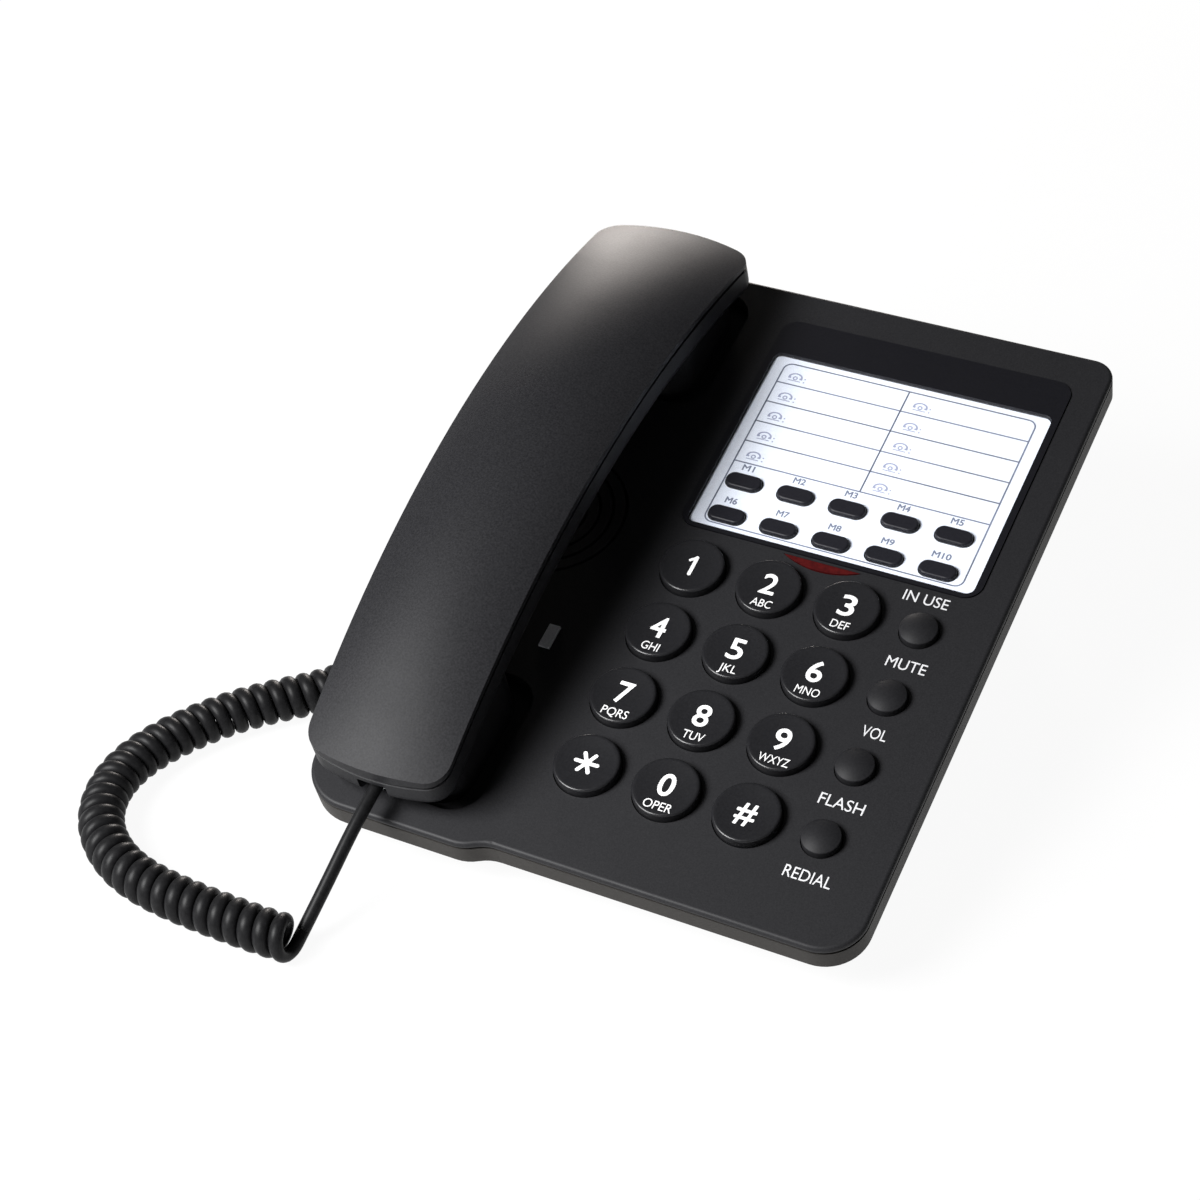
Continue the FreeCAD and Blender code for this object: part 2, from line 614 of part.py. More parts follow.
# Top housing: the deck plate, its seat on the lower rim, the two wells and the ring grille.
def make_top_housing():
    body = new_body("top_housing")
    lip = new_sketch(body, "lip", height=-dim.deck_lip)
    deck_outline(lip)
    pad(body, "lip_pad", lip, dim.deck_lip)
    fillet(body, "lip_rounding", lambda edge: lies_at_height(edge, 0), dim.deck_rounding)
    seat = new_sketch(body, "seat", height=rim_top)
    deck_outline(seat, dim.shadow_gap)
    pad(body, "seat_pad", seat, dim.shadow_gap)
    tongue = new_sketch(body, "tongue", height=rim_top)
    deck_outline(tongue, dim.shell_wall + dim.fit_gap)
    deck_outline(tongue, dim.shell_wall + dim.fit_gap + dim.tongue_wall)
    pad(body, "tongue_pad", tongue, dim.rim_height / 2, down=True)

    bowls = new_sketch(body, "bowls", height=rim_top)
    hollows = new_sketch(body, "hollows")
    for centre_y in (ear_y, mouth_y):
        rounded_rectangle(bowls, *well_box(centre_y, dim.well_floor), dim.cup_corner + dim.well_floor)
        rounded_rectangle(hollows, *well_box(centre_y), dim.cup_corner)
    pad(body, "bowls_pad", bowls, dim.well_depth + dim.well_floor - deck_wall, down=True)

    bars = new_sketch(body, "bars", height=rim_top)
    reach = dim.grille_ring + dim.grille_pitch * (dim.grille_rings - 1) + dim.grille_slot
    half_bar = dim.grille_bar / 2
    x, y = dim.handset_x, dim.grille_y
    profile(bars, [
        (x - reach, y - half_bar), (x - half_bar, y - half_bar),
        (x - half_bar, y - reach), (x + half_bar, y - reach),
        (x + half_bar, y - half_bar), (x + reach, y - half_bar),
        (x + reach, y + half_bar), (x + half_bar, y + half_bar),
        (x + half_bar, y + reach), (x - half_bar, y + reach),
        (x - half_bar, y + half_bar), (x - reach, y + half_bar),
    ])
    pad(body, "bars_pad", bars, dim.grille_bar / 2, down=True)
    rings = new_sketch(body, "rings")
    for ring in range(int(float(dim.grille_rings))):
        middle = dim.grille_ring + dim.grille_pitch * ring
        circle(rings, x, y, 2 * middle - dim.grille_slot)
        circle(rings, x, y, 2 * middle + dim.grille_slot)
    pocket(body, "rings_cut", rings, deck_wall)

    bosses = new_sketch(body, "bosses", height=rim_top)
    pilots = new_sketch(body, "pilots", height=rim_top - dim.boss_length)
    for x, y in screw_places:
        circle(bosses, x, y, dim.boss_diameter)
        circle(pilots, x, y, pilot_diameter)
    pad(body, "bosses_pad", bosses, dim.boss_length, down=True)
    pocket(body, "pilots_cut", pilots, dim.screw_length - 2 * dim.shell_wall + dim.fit_gap, up=True)

    posts = new_sketch(body, "board_posts", height=rim_top)
    post_holes = new_sketch(body, "board_post_holes", height=board_top)
    for x, y in board_posts:
        circle(posts, x, y, dim.post_diameter)
        circle(post_holes, x, y, dim.board_pilot)
    pad(body, "board_posts_pad", posts, rim_top - board_top, down=True)
    pocket(body, "board_post_holes_cut", post_holes, rim_top - board_top, up=True)
    brackets = new_sketch(body, "switch_posts", height=rim_top)
    for x, y in switch_posts:
        circle(brackets, x, y, dim.post_diameter)
    pad(body, "switch_posts_pad", brackets, rim_top - switch_top, down=True)

    pocket(body, "hollows_cut", hollows, dim.well_depth)
    recess = new_sketch(body, "index_recess")
    rounded_rectangle(recess, *bezel_box, dim.bezel_corner)
    pocket(body, "index_recess_cut", recess, dim.recess_depth)
    openings = new_sketch(body, "openings")
    for y in key_rows:
        for x in key_columns:
            circle(openings, x, y, dim.key_diameter + 2 * dim.fit_gap)
        circle(openings, dim.function_x, y, dim.function_diameter + 2 * dim.fit_gap)
    for x, y in memory_places:
        oval(openings, x, y, dim.memory_length + 2 * dim.fit_gap, dim.memory_width + 2 * dim.fit_gap)
    crescent(openings, dim.card_x, lens_back + dim.fit_gap, dim.lens_chord + 4 * dim.fit_gap,
             dim.lens_bulge + 2 * dim.fit_gap)
    pocket(body, "openings_cut", openings, deck_wall)
    slots = new_sketch(body, "plunger_hole")
    side = dim.plunger_width / 2 + dim.fit_gap
    rectangle(slots, dim.handset_x - side, plunger_y - side, dim.handset_x + side, plunger_y + side)
    pocket(body, "plunger_hole_cut", slots, dim.well_depth + dim.well_floor)
    tab = new_sketch(body, "tab_recess")
    rectangle(tab, *tab_box)
    pocket(body, "tab_recess_cut", tab, dim.recess_depth)
    body.Placement = deck_frame
    return body


# The floor of the tub is level with the table when the deck stands at its slope.
def floor_cut(body, name, height):
    sketch = new_sketch(body, name, plane="YZ_Plane")
    reach = dim.base_depth
    level = (height - deck_middle) / trig("cos", dim.deck_tilt)
    slope = trig("tan", dim.deck_tilt)
    profile(sketch, [
        (-reach, level + reach * slope),
        (-reach, -2 * tub_reach),
        (reach, -2 * tub_reach),
        (reach, level - reach * slope),
    ])
    pocket(body, name + "_cut", sketch, 2 * dim.base_width, symmetric=True)


# The room inside the lower housing, an even wall smaller than its outside.
def make_tub_hollow():
    body = new_body("tub_hollow")
    rim = new_sketch(body, "rim", height=rim_top)
    deck_outline(rim, dim.shell_wall)
    pad(body, "rim_pad", rim, dim.rim_height - dim.shell_wall, down=True)
    wall = dim.shell_wall / trig("cos", dim.tub_draft) - dim.shell_wall * trig("tan", dim.tub_draft)
    side = half_width - dim.tub_inset - wall
    end = half_depth - dim.tub_inset - wall
    tub = new_sketch(body, "tub", height=rim_bottom + dim.shell_wall)
    rectangle(tub, -side, -end, side, end)
    pad(body, "tub_pad", tub, tub_reach, down=True, taper=-dim.tub_draft)
    fillet(body, "tub_corners", is_long_drop, dim.tub_corner - dim.shell_wall)
    floor_cut(body, "floor", dim.foot_height + dim.shell_wall)
    return body


def hollow_out(body, hollow):
    room = body.Shape.common(hollow.Shape).Volume
    left = body.Shape.Volume - room
    inside = body.newObject("PartDesign::Boolean", body.Label + "_inside")
    inside.Type = "Cut"
    inside.setObjects([hollow])
    doc.recompute()
    if room <= 0 or abs(body.Shape.Volume - left) > 1e-3 * left:
        raise RuntimeError(body.Label + " was not hollowed out")


# Bottom housing: rim, drafted tub hollowed to an even wall, screw towers and socket windows.
def make_bottom_housing():
    body = new_body("bottom_housing")
    rim = new_sketch(body, "rim", height=rim_bottom)
    deck_outline(rim)
    pad(body, "rim_pad", rim, dim.rim_height)
    tub = new_sketch(body, "tub", height=rim_bottom)
    side = half_width - dim.tub_inset
    rectangle(tub, -side, dim.tub_inset - half_depth, side, half_depth - dim.tub_inset)
    pad(body, "tub_pad", tub, tub_reach, down=True, taper=-dim.tub_draft)
    fillet(body, "tub_corners", is_long_drop, dim.tub_corner)
    floor_cut(body, "floor", dim.foot_height)

    hollow_out(body, make_tub_hollow())

    towers = new_sketch(body, "towers", height=tower_top)
    sinks = new_sketch(body, "sinks", height=screw_seat)
    holes = new_sketch(body, "holes", height=tower_top)
    for x, y in screw_places:
        circle(towers, x, y, dim.tower_diameter)
        circle(sinks, x, y, dim.screw_head + 2 * dim.fit_gap)
        circle(holes, x, y, dim.screw_shank + 2 * dim.fit_gap)
    pad(body, "towers_pad", towers, tub_reach, down=True)
    floor_cut(body, "tower_feet", dim.foot_height)
    pocket(body, "sinks_cut", sinks, tub_reach)
    pocket(body, "holes_cut", holes, tower_top - screw_seat)

    window = new_sketch(body, "handset_window", plane="YZ_Plane", height=-half_width)
    rectangle(window, *jack_block)
    pocket(body, "handset_window_cut", window, half_width / 3, up=True)
    window = new_sketch(body, "line_window", plane="YZ_Plane", height=dim.line_x)
    low, high = dim.line_up - line_tall, dim.line_up + line_tall
    near, far = line_face - dim.line_depth, line_face + dim.line_depth
    corners = ((near, low), (far, low), (far, high), (near, high))
    profile(window, [from_table(y, z) for y, z in corners])
    pocket(body, "line_window_cut", window, 2 * line_side, symmetric=True)
    body.Placement = deck_frame
    return body


# Index card set: bezel, printed card and clear sheet, all in the deck's recess.
def card_box(extra=0):
    return (
        dim.card_x - dim.card_width / 2 - extra,
        dim.card_y - dim.card_height / 2 - extra,
        dim.card_x + dim.card_width / 2 + extra,
        dim.card_y + dim.card_height / 2 + extra,
    )


def make_index_frame():
    body = new_body("index_frame")
    left, front, right, back = bezel_box
    ring = new_sketch(body, "ring", height=-dim.recess_depth)
    gap = slip_gap
    rounded_rectangle(ring, left + gap, front + gap, right - gap, back - gap, dim.bezel_corner - gap)
    rounded_rectangle(ring, *card_box(gap), dim.card_corner + gap)
    pad(body, "ring_pad", ring, dim.recess_depth + dim.bezel_proud)
    body.Placement = deck_frame
    return body


def make_card_sheet(name, height, thickness):
    body = new_body(name)
    sheet_sketch = new_sketch(body, "sheet", height=height)
    rounded_rectangle(sheet_sketch, *card_box(), dim.card_corner)
    for x, y in memory_places:
        oval(sheet_sketch, x, y, dim.memory_length + 2 * dim.fit_gap, dim.memory_width + 2 * dim.fit_gap)
    pad(body, "sheet_pad", sheet_sketch, thickness)
    body.Placement = deck_frame
    return body


# Lamp: a red crescent lens let into the deck over a small round-topped lamp.
def make_lamp_lens():
    body = new_body("lamp_lens")
    lens = new_sketch(body, "lens", height=rim_top)
    crescent(lens, dim.card_x, lens_back, dim.lens_chord, dim.lens_bulge)
    pad(body, "lens_pad", lens, deck_wall + dim.lens_proud)
    body.Placement = deck_frame
    return body


def make_lamp_led():
    body = new_body("lamp_led")
    side = new_sketch(body, "side", plane="XZ_Plane")
    radius = dim.lamp_diameter / 2
    top = rim_top - dim.fit_gap - board_top
    foot = dim.mat_thickness
    profile(side, [
        (0, 0), (radius + foot / 2, 0), (radius + foot / 2, foot), (radius, foot),
        (radius, top - radius), (0, top),
    ], arcs={4: ((0, top - radius), radius, True)})
    revolve(body, "turned", side)
    body.Placement = on_deck(dim.card_x, lamp_y, board_top)
    return body


# Keys: every key has a flange that stops it under the deck and stands on a dome of the mat.
def make_dial_key(name, x, y):
    body = new_body(name)
    radius = dim.key_diameter / 2
    flange = radius + dim.flange_width
    dish = dim.dish_diameter / 2
    hollow = (dish * dish + dim.key_dish * dim.key_dish) / (2 * dim.key_dish)
    side = new_sketch(body, "side", plane="XZ_Plane")
    profile(side, [
        (0, key_foot), (flange, key_foot), (flange, rim_top), (radius, rim_top),
        (radius, dim.key_height), (dish, dim.key_height), (0, dim.key_height - dim.key_dish),
    ], arcs={5: ((0, dim.key_height - dim.key_dish + hollow), hollow, False)})
    revolve(body, "turned", side)
    fillet(body, "rim", lambda edge: is_ring(edge, dim.key_height, radius), dim.key_rounding)
    body.Placement = on_deck(x, y)
    return body


def make_function_key(name, y):
    body = new_body(name)
    radius = dim.function_diameter / 2
    flange = radius + dim.flange_width
    rise = dim.function_crown - dim.function_edge
    dome = (radius * radius + rise * rise) / (2 * rise)
    side = new_sketch(body, "side", plane="XZ_Plane")
    profile(side, [
        (0, key_foot), (flange, key_foot), (flange, rim_top), (radius, rim_top),
        (radius, dim.function_edge), (0, dim.function_crown),
    ], arcs={4: ((0, dim.function_crown - dome), dome, True)})
    revolve(body, "turned", side)
    fillet(body, "rim", lambda edge: is_ring(edge, dim.function_edge, radius), dim.key_rounding / 2)
    body.Placement = on_deck(dim.function_x, y)
    return body


def make_memory_key(name, x, y):
    body = new_body(name)
    flange = new_sketch(body, "flange", height=key_foot)
    oval(flange, 0, 0, dim.memory_length + 2 * dim.flange_width, dim.memory_width + 2 * dim.flange_width)
    pad(body, "flange_pad", flange, dim.flange_thickness)
    cap = new_sketch(body, "cap", height=key_foot)
    oval(cap, 0, 0, dim.memory_length, dim.memory_width)
    pad(body, "cap_pad", cap, dim.memory_height - key_foot)
    fillet(body, "rim", lambda edge: lies_at_height(edge, dim.memory_height), dim.memory_rounding)
    body.Placement = on_deck(x, y)
    return body


# Mat and board: one rubber sheet with a dome under every key, lying on the circuit board.
def board_outline(sketch):
    rectangle(
        sketch,
        key_columns[0] - dim.board_margin,
        key_rows[3] - dim.board_margin,
        dim.function_x + dim.function_diameter / 2 + dim.flange_width,
        memory_places[0][1] + dim.memory_length / 2,
    )


def make_keypad_mat():
    body = new_body("keypad_mat")
    base = new_sketch(body, "base", height=-dim.mat_depth)
    board_outline(base)
    for x, y in board_posts:
        circle(base, x, y, dim.post_diameter + 2 * dim.fit_gap)
    circle(base, dim.card_x, lamp_y, 2 * dim.lamp_diameter)
    pad(body, "base_pad", base, dim.mat_thickness, down=True)
    domes = new_sketch(body, "domes", height=-dim.mat_depth)
    for y in key_rows:
        for x in key_columns:
            circle(domes, x, y, dim.dial_dome)
        circle(domes, dim.function_x, y, dim.function_dome)
    for x, y in memory_places:
        circle(domes, x, y, dim.memory_width)
    pad(body, "domes_pad", domes, dim.mat_depth + key_foot, taper=-dim.dome_lean)
    body.Placement = deck_frame
    return body


def make_main_board():
    body = new_body("main_board")
    base = new_sketch(body, "base", height=board_top)
    board_outline(base)
    for x, y in board_posts:
        circle(base, x, y, dim.screw_shank + dim.fit_gap)
    pad(body, "base_pad", base, dim.board_thickness, down=True)
    chips = new_sketch(body, "chips", height=board_bottom)
    for x, y, long, wide in (
        (dim.keypad_x, dim.keypad_y, dim.key_pitch, dim.key_pitch / 2),
        (dim.function_x - dim.key_pitch / 2, key_rows[0], dim.key_pitch / 2, dim.key_pitch),
    ):
        rectangle(chips, x - long / 2, y - wide / 2, x + long / 2, y + wide / 2)
    pad(body, "chips_pad", chips, dim.chip_height, down=True)
    body.Placement = deck_frame
    return body


# Screws: a group of equal screws, heads down, with a cross cut in each head.
def make_screws(name, places, seat, length, shank, head, placement):
    body = new_body(name)
    body.AllowCompound = True
    heads = new_sketch(body, "heads", height=seat)
    shanks = new_sketch(body, "shanks", height=seat)
    for x, y in places:
        circle(heads, x, y, head)
        circle(shanks, x, y, shank)
    pad(body, "heads_pad", heads, dim.screw_head_height, down=True)
    pad(body, "shanks_pad", shanks, length)
    crosses = new_sketch(body, "crosses", height=seat - dim.screw_head_height)
    long = head * 0.32
    thin = head * 0.08
    for x, y in places:
        profile(crosses, [
            (x - long, y - thin), (x - thin, y - thin), (x - thin, y - long), (x + thin, y - long),
            (x + thin, y - thin), (x + long, y - thin), (x + long, y + thin), (x + thin, y + thin),
            (x + thin, y + long), (x - thin, y + long), (x - thin, y + thin), (x - long, y + thin),
        ])
    pocket(body, "crosses_cut", crosses, dim.screw_head_height / 2, up=True)
    body.Placement = placement
    return body


# Ringer: a round speaker pressed up against the grille's cross bars.
def make_ringer_speaker():
    body = new_body("ringer_speaker")
    side = new_sketch(body, "side", plane="XZ_Plane")
    radius = dim.speaker_diameter / 2
    depth = dim.speaker_depth
    flange = dim.speaker_flange
    cone, surround, magnet = radius * 0.8, radius * 0.86, radius * 0.55
    basket = depth * 0.55
    profile(side, [
        (0, -flange), (cone, -flange / 3), (surround, 0), (radius, 0), (radius, -flange),
        (cone, -flange), (magnet, -basket), (magnet, -depth), (0, -depth),
    ])
    revolve(body, "turned", side)
    body.Placement = on_deck(dim.handset_x, dim.grille_y, rim_top - dim.grille_bar / 2)
    return body


# Hook: a square plunger through the ear well's floor, and the switch that it works.
def make_hook_plunger():
    body = new_body("hook_plunger")
    half = dim.plunger_width / 2
    top = -dim.well_depth
    foot = switch_top - dim.plunger_stem
    stem = new_sketch(body, "stem", height=foot)
    rectangle(stem, -half, -half, half, half)
    pad(body, "stem_pad", stem, top - foot)
    flange = new_sketch(body, "flange", height=switch_top + dim.fit_gap)
    wide = half + 2 * dim.flange_width
    rectangle(flange, -half, -wide, half, wide)
    pad(body, "flange_pad", flange, dim.flange_thickness)
    fillet(body, "top", lambda edge: lies_at_height(edge, top), dim.key_rounding)
    body.Placement = on_deck(dim.handset_x, plunger_y)
    return body


def make_hook_switch():
    body = new_body("hook_switch")
    half = dim.switch_flange / 2
    wide = dim.plunger_width / 2 + 2 * dim.flange_width
    flange = new_sketch(body, "flange", height=switch_top)
    rectangle(flange, -half, -wide, half, wide)
    pad(body, "flange_pad", flange, dim.flange_thickness, down=True)
    case = new_sketch(body, "case", height=switch_top)
    rectangle(case, -half / 2, -wide, half / 2, wide)
    pad(body, "case_pad", case, dim.switch_depth, down=True)
    well = new_sketch(body, "well", height=switch_top)
    room = dim.plunger_width / 2 + dim.fit_gap
    rectangle(well, -room, -room, room, room)
    pocket(body, "well_cut", well, dim.plunger_lift)
    body.Placement = on_deck(dim.handset_x, plunger_y)
    return body


def make_hanger_tab():
    body = new_body("hanger_tab")
    base = new_sketch(body, "base", height=-dim.recess_depth)
    left, front, right, back = tab_box
    rectangle(base, left + slip_gap, front + slip_gap, right - slip_gap, back - slip_gap)
    pad(body, "base_pad", base, dim.recess_depth + dim.tab_proud)
    body.Placement = deck_frame
    return body


# Sockets: open-ended blocks let into the left and the back wall of the tub.
def make_handset_jack():
    body = new_body("handset_jack")
    block = new_sketch(body, "block", plane="YZ_Plane", height=-jack_face)
    rectangle(block, *jack_block)
    pad(body, "block_pad", block, dim.plug_length + 2 * dim.jack_wall)
    socket = new_sketch(body, "socket", plane="YZ_Plane", height=-jack_face)
    left, low, right, high = jack_block
    wall = dim.jack_wall - slip_gap
    rectangle(socket, left + wall, low + wall, right - wall, high - wall)
    pocket(body, "socket_cut", socket, dim.plug_length - dim.plug_out + dim.fit_gap, up=True)
    body.Placement = deck_frame
    return body


def make_line_jack():
    body = new_body("line_jack")
    wall = dim.jack_wall
    block = new_sketch(body, "block", plane="XZ_Plane")
    rectangle(block, -line_side, -line_tall, line_side, line_tall)
    pad(body, "block_pad", block, dim.line_depth)
    socket = new_sketch(body, "socket", plane="XZ_Plane")
    rectangle(socket, wall - line_side, wall - line_tall, line_side - wall, line_tall - wall)
    pocket(body, "socket_cut", socket, dim.line_depth - 2 * wall, up=True)
    latch = new_sketch(body, "latch", plane="XZ_Plane")
    half = dim.latch_width / 2
    rectangle(latch, -half, wall / 2 - line_tall, half, line_tall - wall)
    pocket(body, "latch_cut", latch, dim.line_depth - 2 * wall, up=True)
    body.Placement = Placement(Vector(float(dim.line_x), float(line_face), float(dim.line_up)), Rotation())
    return body


# Plug: a square body with a round collar where the cord enters, drawn with its nose along +x.
def make_plug(name, placement):
    body = new_body(name)
    half = dim.plug_width / 2
    tall = dim.plug_height / 2
    nose = new_sketch(body, "nose", plane="YZ_Plane")
    rectangle(nose, -half, -tall, half, tall)
    pad(body, "nose_pad", nose, dim.plug_length)
    collar = new_sketch(body, "collar", plane="YZ_Plane")
    circle(collar, 0, 0, dim.collar_diameter)
    pad(body, "collar_pad", collar, dim.collar_length, down=True)
    body.Placement = placement
    return body


# What rests on or under the floor, level with the table.
def make_base_weight():
    body = new_body("base_weight")
    plate = new_sketch(body, "plate")
    half, deep = dim.weight_width / 2, dim.weight_depth / 2
    rounded_rectangle(plate, -half, -deep, half, deep, dim.bezel_corner)
    pad(body, "plate_pad", plate, dim.weight_thickness)
    body.Placement = Placement(Vector(0, 0, float(dim.foot_height + dim.shell_wall)), Rotation())
    return body


def make_rubber_feet():
    body = new_body("rubber_feet")
    body.AllowCompound = True
    discs = new_sketch(body, "discs")
    for side in (-1, 1):
        circle(discs, side * dim.foot_front_side, -dim.foot_front, dim.foot_diameter)
        circle(discs, side * dim.foot_back_side, dim.foot_back, dim.foot_diameter)
    pad(body, "discs_pad", discs, dim.foot_height)
    return body


# Handset. Its pieces share one frame: x across, y to the ear end, z out of the deck, origin midway.
half_handset = dim.handset_length / 2
arch_radius = (half_handset * half_handset + dim.arch_rise * dim.arch_rise) / (2 * dim.arch_rise)
arch_reach = half_handset * 1.1
arch_z = dim.arch_foot + dim.arch_rise - arch_radius
handset_frame = on_deck(dim.handset_x, dim.handset_y)


def arch_height(y, radius):
    y = as_size(y)
    return arch_z + root(radius * radius - y * y)


# A strip between two arcs about the arch's axis, seen from the side.
def arch_strip(body, name, top_radius, bottom_radius, reach):
    sketch = new_sketch(body, name, plane="YZ_Plane")
    corners = [
        (-reach, arch_height(reach, bottom_radius)), (reach, arch_height(reach, bottom_radius)),
        (reach, arch_height(reach, top_radius)), (-reach, arch_height(reach, top_radius)),
    ]
    centre = (0, arch_z)
    profile(sketch, corners, arcs={0: (centre, bottom_radius, False), 2: (centre, top_radius, True)})
    return sketch


# Everything outside the handset's tapering plan outline is cut away, then the corners are rounded.
def trim_to_outline(body, name, inset):
    inset = as_size(inset)
    sketch = new_sketch(body, name)
    far = dim.handset_length
    rectangle(sketch, -far, -far, far, far)
    ear = dim.ear_width / 2 - inset
    mouth = dim.mouth_width / 2 - inset
    end = half_handset - inset
    bow = dim.end_radius
    ear_side = end - bow + root(bow * bow - ear * ear)
    mouth_side = end - bow + root(bow * bow - mouth * mouth)
    profile(sketch, [(-mouth, -mouth_side), (mouth, -mouth_side), (ear, ear_side), (-ear, ear_side)],
            arcs={0: ((0, bow - end), bow, True), 2: ((0, end - bow), bow, True)})
    pocket(body, name + "_cut", sketch, dim.handset_length, symmetric=True)
    fillet(body, name + "_corners", is_upright, dim.handset_corner - inset)


def is_upright(edge):
    box = edge.BoundBox
    return box.XLength < 1e-4 and box.YLength < 1e-4


def is_long_drop(edge):
    return edge.BoundBox.ZLength > float(tub_reach) / 2


def is_ring(edge, height, radius):
    return lies_at_height(edge, height) and abs(edge.BoundBox.XLength - 2 * float(radius)) < 1e-3


# Upper shell: crown sections lofted from mouth to ear, trimmed, hollowed and cut to the parting arch.
def make_handset_upper_shell():
    body = new_body("handset_upper_shell")
    sections = []
    for station in range(-3, 4):
        share = station / 3
        y = half_handset * share
        half = (dim.ear_width + dim.mouth_width + (dim.ear_width - dim.mouth_width) * share) / 4
        half = half + dim.handset_groove
        crown = dim.crown_end + (dim.crown_rise - dim.crown_end) * (1 - share * share)
        foot = arch_height(y, arch_radius)
        edge = foot + dim.crown_edge
        bow = (half * half + crown * crown) / (2 * crown)
        sketch = new_sketch(body, "section_%d" % (station + 4), plane="XZ_Plane", height=-y)
        profile(sketch, [
            (-half, foot - dim.handset_wall), (half, foot - dim.handset_wall), (half, edge), (-half, edge),
        ], arcs={2: ((0, edge + crown - bow), bow, True)})
        sections.append(sketch)
    loft = body.newObject("PartDesign::AdditiveLoft", "handset_upper_shell_loft")
    loft.Profile = sections[0]
    loft.Sections = sections[1:]
    doc.recompute()
    trim_to_outline(body, "outline", 0)
    reach = half_handset * 0.6
    hollow = arch_strip(body, "hollow", arch_radius + dim.handset_wall, arch_radius - dim.grip_depth, reach)
    pocket(body, "hollow_cut", hollow, channel_width - 2 * dim.handset_wall, symmetric=True)
    bosses = new_sketch(body, "bosses", height=screw_part - dim.handset_wall)
    pilots = new_sketch(body, "pilots", height=screw_part - dim.handset_wall)
    for x, y in handset_screw_places:
        circle(bosses, x, y, dim.boss_diameter)
        circle(pilots, x, y, pilot_diameter)
    pad(body, "bosses_pad", bosses, dim.handset_boss)
    pocket(body, "pilots_cut", pilots, dim.screw_length / 2 + dim.handset_wall, up=True)
    under = arch_strip(body, "under", arch_radius, arch_radius - 2 * dim.grip_depth, arch_reach)
    pocket(body, "under_cut", under, dim.handset_length, symmetric=True)
    body.Placement = handset_frame
    return body


# Lower shell: an arched band with a tongue under the upper shell, and the two cups.
def make_handset_lower_shell():
    body = new_body("handset_lower_shell")
    far = arch_reach
    wide = 2 * dim.ear_width
    band_top = arch_radius - dim.handset_groove
    band_bottom = arch_radius - dim.grip_depth
    tongue = arch_strip(body, "tongue", arch_radius, arch_radius - dim.grip_depth / 2, far)
    pad(body, "tongue_pad", tongue, wide, symmetric=True)
    trim_to_outline(body, "tongue_outline", dim.handset_groove)
    band = arch_strip(body, "band", band_top, band_bottom, far)
    pad(body, "band_pad", band, wide, symmetric=True)
    trim_to_outline(body, "band_outline", 0)
    fillet(body, "band_rounding", lambda edge: lies_on_arch(edge, band_bottom), dim.grip_rounding)
    cups = new_sketch(body, "cups", height=-dim.well_depth)
    hollows = new_sketch(body, "cup_hollows", height=dim.handset_wall - dim.well_depth)
    for middle in (cup_middle, -cup_middle):
        rounded_rectangle(cups, *cup_box(middle), dim.cup_corner)
        rounded_rectangle(hollows, *cup_box(middle, dim.handset_wall), dim.cup_corner - dim.handset_wall)
    pad(body, "cups_pad", cups, dim.arch_foot + dim.arch_rise + dim.well_depth)
    cut_above_arch(body, "cup_tops")
    fillet(body, "cup_rounding", lambda edge: lies_at_height(edge, -dim.well_depth), dim.cup_rounding)
    channel = arch_strip(body, "channel", arch_radius + dim.handset_wall, band_bottom + dim.handset_wall,
                         cup_middle + dim.cup_length / 2 - dim.handset_wall)
    pocket(body, "channel_cut", channel, channel_width, symmetric=True)
    pocket(body, "cup_hollows_cut", hollows, dim.arch_foot + dim.arch_rise + dim.well_depth, up=True)

    towers = new_sketch(body, "towers", height=handset_seat - dim.handset_wall / 2)
    sinks = new_sketch(body, "sinks", height=handset_seat)
    holes = new_sketch(body, "holes", height=handset_seat)
    for x, y in handset_screw_places:
        circle(towers, x, y, dim.tower_diameter)
        circle(sinks, x, y, dim.screw_head + 2 * dim.fit_gap)
        circle(holes, x, y, dim.screw_shank + 2 * dim.fit_gap)
    pad(body, "towers_pad", towers, dim.grip_depth)
    cut_above_arch(body, "tower_tops")
    pocket(body, "sinks_cut", sinks, dim.grip_depth)
    pocket(body, "holes_cut", holes, dim.grip_depth, up=True)

    shelf = new_sketch(body, "socket_shelf", height=dim.handset_wall - dim.well_depth)
    rectangle(shelf, -socket_half, -socket_front, socket_half, dim.plug_length - socket_front)
    pad(body, "socket_shelf_pad", shelf, socket_z - socket_tall - dim.handset_wall + dim.well_depth)
    passage = new_sketch(body, "plug_passage", plane="XZ_Plane", height=half_handset)
    half = dim.plug_width / 2 + dim.fit_gap
    tall = dim.plug_height / 2 + dim.fit_gap
    rectangle(passage, -half, socket_z - tall, half, socket_z + tall)
    pocket(body, "plug_passage_cut", passage, half_handset - socket_front)
    sound = new_sketch(body, "sound_holes", height=-dim.well_depth)
    for middle in (cup_middle, -cup_middle):
        for hole in range(7):
            angle = math.radians(60 * hole)
            ring = 0 if hole == 6 else dim.sound_ring
            circle(sound, ring * math.cos(angle), middle + ring * math.sin(angle), dim.sound_hole)
    pocket(body, "sound_holes_cut", sound, dim.handset_wall, up=True)
    body.Placement = handset_frame
    return body


def lies_on_arch(edge, radius):
    for share in (0, 0.25, 0.5, 0.75, 1):
        point = edge.valueAt(edge.FirstParameter + (edge.LastParameter - edge.FirstParameter) * share)
        if abs(math.hypot(point.y, point.z - float(arch_z)) - float(radius)) > 1e-3:
            return False
    return True


def cut_above_arch(body, name):
    over = arch_strip(body, name, arch_radius + dim.handset_length, arch_radius, arch_reach)
    pocket(body, name + "_cut", over, dim.handset_length, symmetric=True)


def cup_box(middle, inset=0):
    side = dim.cup_width / 2 - inset
    end = dim.cup_length / 2 - inset
    return -side, middle - end, side, middle + end


